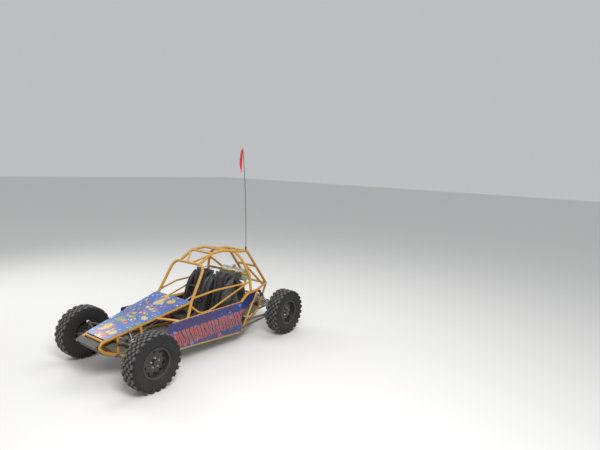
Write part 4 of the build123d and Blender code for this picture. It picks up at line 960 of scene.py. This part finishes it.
def webbing_height(tree, grain_height):
    """Fine slanted ribs added to a surface's own grain."""
    split = object_places(tree)[1]
    slant = times(tree, plus(tree, split[2], split[0]), RIBS_PER_METRE)
    return plus(tree, grain_height, arithmetic(tree, "PINGPONG", slant, 0.5))


webbing = finish("harness_webbing", (0.030, 0.030, 0.034), rough=0.75, on_top=0.15, low_down=0.0, chips=0.0,
                 blotch=0.2, bump=0.0007, grain=700, height=webbing_height)


def strap(shape, points, side=(1, 0, 0)):
    """A flat strap along points, with its width in the side direction."""
    across = Vector(side).normalized() * STRAP_W / 2
    ends = [shape.verts.new(Vector(points[0]) - across), shape.verts.new(Vector(points[0]) + across)]
    edge = shape.edges.new(ends)
    for here, there in zip(points, points[1:]):
        grown = bmesh.ops.extrude_edge_only(shape, edges=[edge])["geom"]
        moved = points_in(grown)
        move(shape, Vector(there) - Vector(here), moved)
        edge = next(g for g in grown if isinstance(g, bmesh.types.BMEdge) and set(g.verts) <= set(moved))


# half spread, Y and Z of a shoulder strap from the harness bar, over the seat and down its back
SHOULDER_RUN = [
    (0.075, 0.806, 1.085), (0.075, 0.786, 1.108), (0.075, 0.740, 1.112), (0.074, 0.600, 1.124),
    (0.072, 0.500, 1.143), (0.070, 0.440, 1.146), (0.069, 0.380, 1.136), (0.068, 0.355, 1.090),
    (0.064, 0.318, 0.940), (0.057, 0.272, 0.760), (0.047, 0.222, 0.560), (0.036, 0.180, 0.470),
    (0.020, 0.130, 0.440),
]
LAP_RUN = [(0.148, 0.215, 0.395), (0.135, 0.190, 0.430), (0.110, 0.160, 0.438), (0.060, 0.125, 0.436),
           (0.02, 0.108, 0.437)]
LAP_ACROSS = (0.35, 0.94, 0)
BUCKLE_Y = 0.105
BUCKLE_Z = 0.440
for side, centre_x in SEATS.items():
    straps = bmesh.new()
    for lean in (-1, 1):
        strap(straps, [(centre_x + lean * x, y, z) for x, y, z in SHOULDER_RUN])
        strap(straps, [(centre_x + lean * x, y, z) for x, y, z in LAP_RUN], LAP_ACROSS)
    piece = new_piece(f"harness_straps_{side}", straps, webbing, crisp=180)
    modify(piece, "bend", "SUBSURF", levels=2, render_levels=2)
    modify(piece, "thick", "SOLIDIFY", thickness=STRAP_T)
    buckle = bmesh.new()
    low, middle, high = [(centre_x, BUCKLE_Y, BUCKLE_Z + step) for step in (-0.002, 0.012, 0.018)]
    rod(buckle, low, middle, 0.030, 28, 0.027)
    rod(buckle, middle, high, 0.016, 20, 0.014)
    new_piece(f"harness_buckle_{side}", buckle, steel)
print("straps:", 4 * len(SEATS))

# %% [markdown]
# ## Rivets and bolts
#
# Sheets are held by rows of domed rivets. A rivet is a flattened half ball, and a row is laid from one end to the
# other at an even pitch. Each arm turns on a bolt with a six-sided head at one end and a nut at the other.

# %% Set the rivets
RIVET_R = 0.0052
RIVET_H = 0.0024
RIVET_PITCH = 0.105
RIVET_POINTS = 52


def rivet(shape, place, normal):
    """One domed head on a surface."""
    made = bmesh.ops.create_uvsphere(shape, u_segments=10, v_segments=6, radius=RIVET_R)["verts"]
    bmesh.ops.scale(shape, verts=made, vec=(1, 1, RIVET_H / RIVET_R))
    aim(shape, made, normal)
    move(shape, place, made)


def rivet_row(shape, start, end, normal):
    """Rivets from a first to a last place, as near to the pitch as whole steps allow."""
    start = Vector(start)
    run = Vector(end) - start
    gaps = max(1, round(run.length / RIVET_PITCH))
    for index in range(gaps + 1):
        rivet(shape, start + run * index / gaps, normal)


# outer face of the side sheet, then its corners as Y and Z, set in from the edge
SIDE_FACE_X = 0.5606
SIDE_CORNERS = [(-0.892, 0.674), (0.536, 0.674), (0.536, 0.208), (-0.806, 0.309), (-0.912, 0.540)]
HOOD_CORNERS = [(0.214, -1.630, 0.5968), (0.391, -0.400, 0.8702)]
HOOD_NORMAL = (0, -0.217, 0.976)
side_rivets = bmesh.new()
for side in (1, -1):
    corners = [(side * SIDE_FACE_X, y, z) for y, z in SIDE_CORNERS]
    for start, end in zip(corners, corners[1:] + corners[:1]):
        rivet_row(side_rivets, start, end, (side, 0, 0))
hood_rivets = bmesh.new()
for side in (1, -1):
    nose, cowl = [(side * x, y, z) for x, y, z in HOOD_CORNERS]
    rivet_row(hood_rivets, nose, cowl, HOOD_NORMAL)
for x, y, z in HOOD_CORNERS:
    rivet_row(hood_rivets, (-x * 0.9, y, z), (x * 0.9, y, z), HOOD_NORMAL)
for rivets in (side_rivets, hood_rivets):
    print("rivets:", len(rivets.verts) // RIVET_POINTS)
new_piece("side_rivets", side_rivets, aluminium)
new_piece("hood_rivets", hood_rivets, aluminium)

# %% Put the bolts in
BUSH_HALF = 0.027
WASHER_T = 0.0022
# front and rear pivot of each left arm, in its bushes
ARM_PIVOTS = {
    "upper_arm": ((0.2754, -1.4738, 0.505), (0.3622, -1.1588, 0.505)),
    "lower_arm": ((0.2788, -1.5088, 0.3554), (0.4152, -1.1688, 0.3029)),
}
TRAILING_AXIS = Vector((-0.417, 0.908, 0.046))
TRAILING_PIVOTS = ((0.5029, 0.6112, 0.2256), (0.3421, 0.9612, 0.2434))


def pivot_bolt(shape, place, axis, side):
    """A bolt head and washer ahead of a bush and a nut behind it."""
    place = Vector(place)
    axis = Vector(axis).normalized()
    for way, head in ((-1, 0.008), (1, 0.011)):
        reaches = (BUSH_HALF, BUSH_HALF + WASHER_T, BUSH_HALF + WASHER_T + head)
        ends = [place + axis * way * reach for reach in reaches]
        ends = [(side * end.x, end.y, end.z) for end in ends]
        rod(shape, ends[0], ends[1], 0.0145, 20)
        rod(shape, ends[1], ends[2], 0.0098, 6, 0.0090)


arm_bolts = bmesh.new()
for side in (1, -1):
    for front, rear in ARM_PIVOTS.values():
        for place in (front, rear):
            pivot_bolt(arm_bolts, place, Vector(rear) - Vector(front), side)
    for place in TRAILING_PIVOTS:
        pivot_bolt(arm_bolts, place, TRAILING_AXIS, side)
new_piece("arm_bolts", arm_bolts, steel)

# %% [markdown]
# ## Engine bay trim
#
# Over each carburettor sits an air filter: a pleated paper ring between two chromed caps. The pleats are one
# zigzag ring drawn upwards. The tank has two straps, two rolled seams and a screwed cap, and the muffler has four
# seams.

# %% Fold the filters
FILTER_X = 0.2834
FILTER_Y = 0.9562
FILTER_LOW = 0.6106
FILTER_HIGH = 0.6816
CAP_LOW = 0.5996
CAP_HIGH = 0.6936
PLEATS = 52
PLEAT_RADII = (0.0562, 0.0585)
filter_paper = finish("filter_paper", (0.50, 0.16, 0.05), rough=0.85, on_top=0.3, chips=0.0, bump=0.0005)
for side, sign in SIDES.items():
    x = sign * FILTER_X
    pleats = bmesh.new()
    ring = []
    for index in range(PLEATS * 2):
        angle = math.tau * index / (PLEATS * 2)
        radius = PLEAT_RADII[index % 2]
        left, rear = radius * math.cos(angle), radius * math.sin(angle)
        ring.append(pleats.verts.new((x + left, FILTER_Y + rear, FILTER_LOW)))
    edges = [pleats.edges.new(pair) for pair in zip(ring, ring[1:] + ring[:1])]
    raised = points_in(bmesh.ops.extrude_edge_only(pleats, edges=edges)["geom"])
    move(pleats, (0, 0, FILTER_HIGH - FILTER_LOW), raised)
    new_piece(f"filter_pleats_{side}", pleats, filter_paper, crisp=20)
    caps = bmesh.new()
    for low, high in ((CAP_LOW, FILTER_LOW), (FILTER_HIGH, CAP_HIGH)):
        rod(caps, (x, FILTER_Y, low), (x, FILTER_Y, high), 0.0610, 40)
    rod(caps, (x, FILTER_Y, CAP_HIGH), (x, FILTER_Y, 0.7030), 0.0085, 6)
    new_piece(f"filter_caps_{side}", caps, chrome)

# %% Strap the tank and seam the muffler
TANK_PLACE = Vector((0, 0.9412, 1.015))
TANK_R = 0.100
TANK_CAP_Z = 1.143
MUFFLER_PLACE = Vector((0, 1.7292, 0.330))
MUFFLER_R = 0.058


def bands(shape, half, radius, height, steps, middle, offsets, taper=0.001):
    """Flat rings laid round a drum along X, at each offset from its middle."""
    profile = [(-half, radius), (half, radius), (half - taper, radius + height), (taper - half, radius + height)]
    for x in offsets:
        band = spun(profile, steps)
        move(band, middle + Vector((x, 0, 0)))
        join(shape, band)


tank_trim = bmesh.new()
bands(tank_trim, 0.014, TANK_R, 0.002, 56, TANK_PLACE, (-0.155, 0.155), taper=0)
bands(tank_trim, 0.003, TANK_R, 0.003, 56, TANK_PLACE, (-0.262, 0.262))
rod(tank_trim, (0, TANK_PLACE.y, TANK_CAP_Z), (0, TANK_PLACE.y, TANK_CAP_Z + 0.012), 0.036, 12, 0.034)
new_piece("tank_straps", tank_trim, steel)
muffler_trim = bmesh.new()
bands(muffler_trim, 0.005, MUFFLER_R, 0.0028, 40, MUFFLER_PLACE, (-0.213, -0.11, 0.11, 0.213))
new_piece("muffler_seams", muffler_trim, exhaust_steel)

# %% [markdown]
# Each half shaft has a ribbed rubber boot over its inner joint. A boot is a profile that gets wider and narrower
# by turns, spun about the shaft.

# %% Fit the boots
BOOT_START = 0.136
BOOT_RIBS = 5
BOOT_PITCH = 0.013


def boot_profile():
    """Offsets outward from the gearbox and radii, ending on the shaft."""
    points = [(0.0, 0.020), (0.0, 0.044)]
    for index in range(BOOT_RIBS):
        shrink = index * 0.0035
        points.append(((index + 0.5) * BOOT_PITCH, 0.047 - shrink))
        points.append(((index + 1.0) * BOOT_PITCH, 0.037 - shrink))
    end = BOOT_RIBS * BOOT_PITCH
    return points + [(end + 0.012, 0.0195), (end + 0.012, 0.0152)]


for side, sign in SIDES.items():
    boot = spun([(sign * (BOOT_START + offset), radius) for offset, radius in boot_profile()], 40)
    move(boot, (0, REAR_AXLE_Y, AXLE_Z))
    new_piece(f"shaft_boot_{side}", boot, grip_rubber, f"wheel_rear_{side}", crisp=50)

# %% [markdown]
# ## Dash and wheel trim
#
# Three dials face the driver from the dash, each a dark face under a chromed ring with a needle. Each rim has a
# valve stem.

# %% Fit the dials
DASH_BACK_Y = -0.3878
DIAL_Z = 0.795
# X and radius of each dial
DIALS = [(0.045, 0.024), (-0.045, 0.036), (-0.130, 0.024)]
NEEDLE_TURN = 0.8
dial_face = finish("dial_face", (0.012, 0.012, 0.013), rough=0.3, coat=0.5, on_top=0.05, low_down=0.0, chips=0.0)
needle_red = finish("needle_red", (0.65, 0.04, 0.02), rough=0.4, on_top=0.0, low_down=0.0, chips=0.0)
faces, rings, needles = bmesh.new(), bmesh.new(), bmesh.new()
for x, radius in DIALS:
    place = Vector((x, DASH_BACK_Y, DIAL_Z))
    rod(faces, place, place + Vector((0, 0.006, 0)), radius, 32)
    ring = spun([(0.0, radius), (0.0, radius + 0.004), (0.009, radius + 0.003), (0.009, radius - 0.001)], 36)
    turn(ring, ring.verts, math.pi / 2, "Z")
    move(ring, place)
    join(rings, ring)
    needle = bmesh.ops.create_cube(needles, size=1.0)["verts"]
    bmesh.ops.scale(needles, verts=needle, vec=(radius * 0.75, 0.0008, 0.0018))
    turn(needles, needle, NEEDLE_TURN, "Y")
    move(needles, place + Vector((0, 0.0068, 0)), needle)
new_piece("dial_faces", faces, dial_face)
new_piece("dial_rings", rings, chrome)
new_piece("dial_needles", needles, needle_red)

# %% Add the valve stems
STEM_OUT = 0.036
STEM_UP = 0.172
for corner, (x, y, half, rubber) in WHEELS.items():
    side = 1 if x > 0 else -1
    stem = bmesh.new()
    foot = Vector((x + side * STEM_OUT, y, AXLE_Z + STEM_UP))
    neck = foot + Vector((side * 0.030, 0, -0.012))
    rod(stem, foot, neck, 0.0048, 12, 0.0040)
    rod(stem, neck, foot + Vector((side * 0.040, 0, -0.016)), 0.0050, 12)
    new_piece(f"valve_stem_{corner}", stem, grip_rubber, f"wheel_{corner}")

# %% [markdown]
# ## Flag
#
# The pennant is thin red nylon, cut as a long triangle. With no wind it hangs from a short sleeve at the whip's
# tip, gathered into soft folds. It is a grid whose rows hang one under the other: each row swings from side to
# side in thickness, which makes the folds, and draws in to a point at the bottom.

# %% Hang the flag
WHIP_TIP = Vector((0.130, 0.9477, 3.174))
WHIP_RUN = Vector((-0.1182, -0.0161, 0.9929))
SLEEVE_TOP = WHIP_TIP - WHIP_RUN * 0.015
SLEEVE_L = 0.060
FLAG_L = 0.395
FLAG_T = 0.0006
FLAG_FOLDS = 3.5
# where the flag hangs widest, as a share of the way down
FLAG_BELLY = 0.62
nylon = finish("red_nylon", (0.62, 0.020, 0.024), rough=0.55, on_top=0.0, low_down=0.0, chips=0.0, blotch=0.22,
               bump=0.0005, grain=900)


def flag_width(t):
    """How far the gathered cloth reaches from its sleeve, at a share t of the way down."""
    if t < FLAG_BELLY:
        return 0.030 + 0.028 * math.sin(math.pi * (t / FLAG_BELLY) / 2)
    return 0.058 * (1 - ((t - FLAG_BELLY) / 0.40) ** 1.6)


cloth = bmesh.new()
bmesh.ops.create_grid(cloth, x_segments=28, y_segments=40, size=0.5)
for vertex in cloth.verts:
    across, t = vertex.co.x + 0.5, 0.5 - vertex.co.y
    sag = 0.02 * math.sin(math.pi * across) * (1 - t)
    gather = min(1.0, 0.25 + 2.5 * across * (1.05 - t))
    swing = 0.0055 * math.sin(across * math.tau * FLAG_FOLDS + 2.6 * t) * gather
    below_sleeve = 1.0 if t * FLAG_L > SLEEVE_L else 0.0
    start = 0.004 + 0.022 * below_sleeve * max(0.0, t - 0.15)
    way = Vector((WHIP_RUN.x * t * FLAG_L - start - across * flag_width(t), swing, 0))
    vertex.co = SLEEVE_TOP + WHIP_RUN * (-t * FLAG_L - sag) + way
flag = new_piece("flag_cloth", cloth, nylon, crisp=180)
modify(flag, "cloth", "SOLIDIFY", thickness=FLAG_T)
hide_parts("flag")

# %% Sew the flag's sleeve
sleeve = bmesh.new()
rod(sleeve, SLEEVE_TOP - WHIP_RUN * SLEEVE_L, SLEEVE_TOP, 0.0072, 20)
new_piece("flag_sleeve", sleeve, nylon)
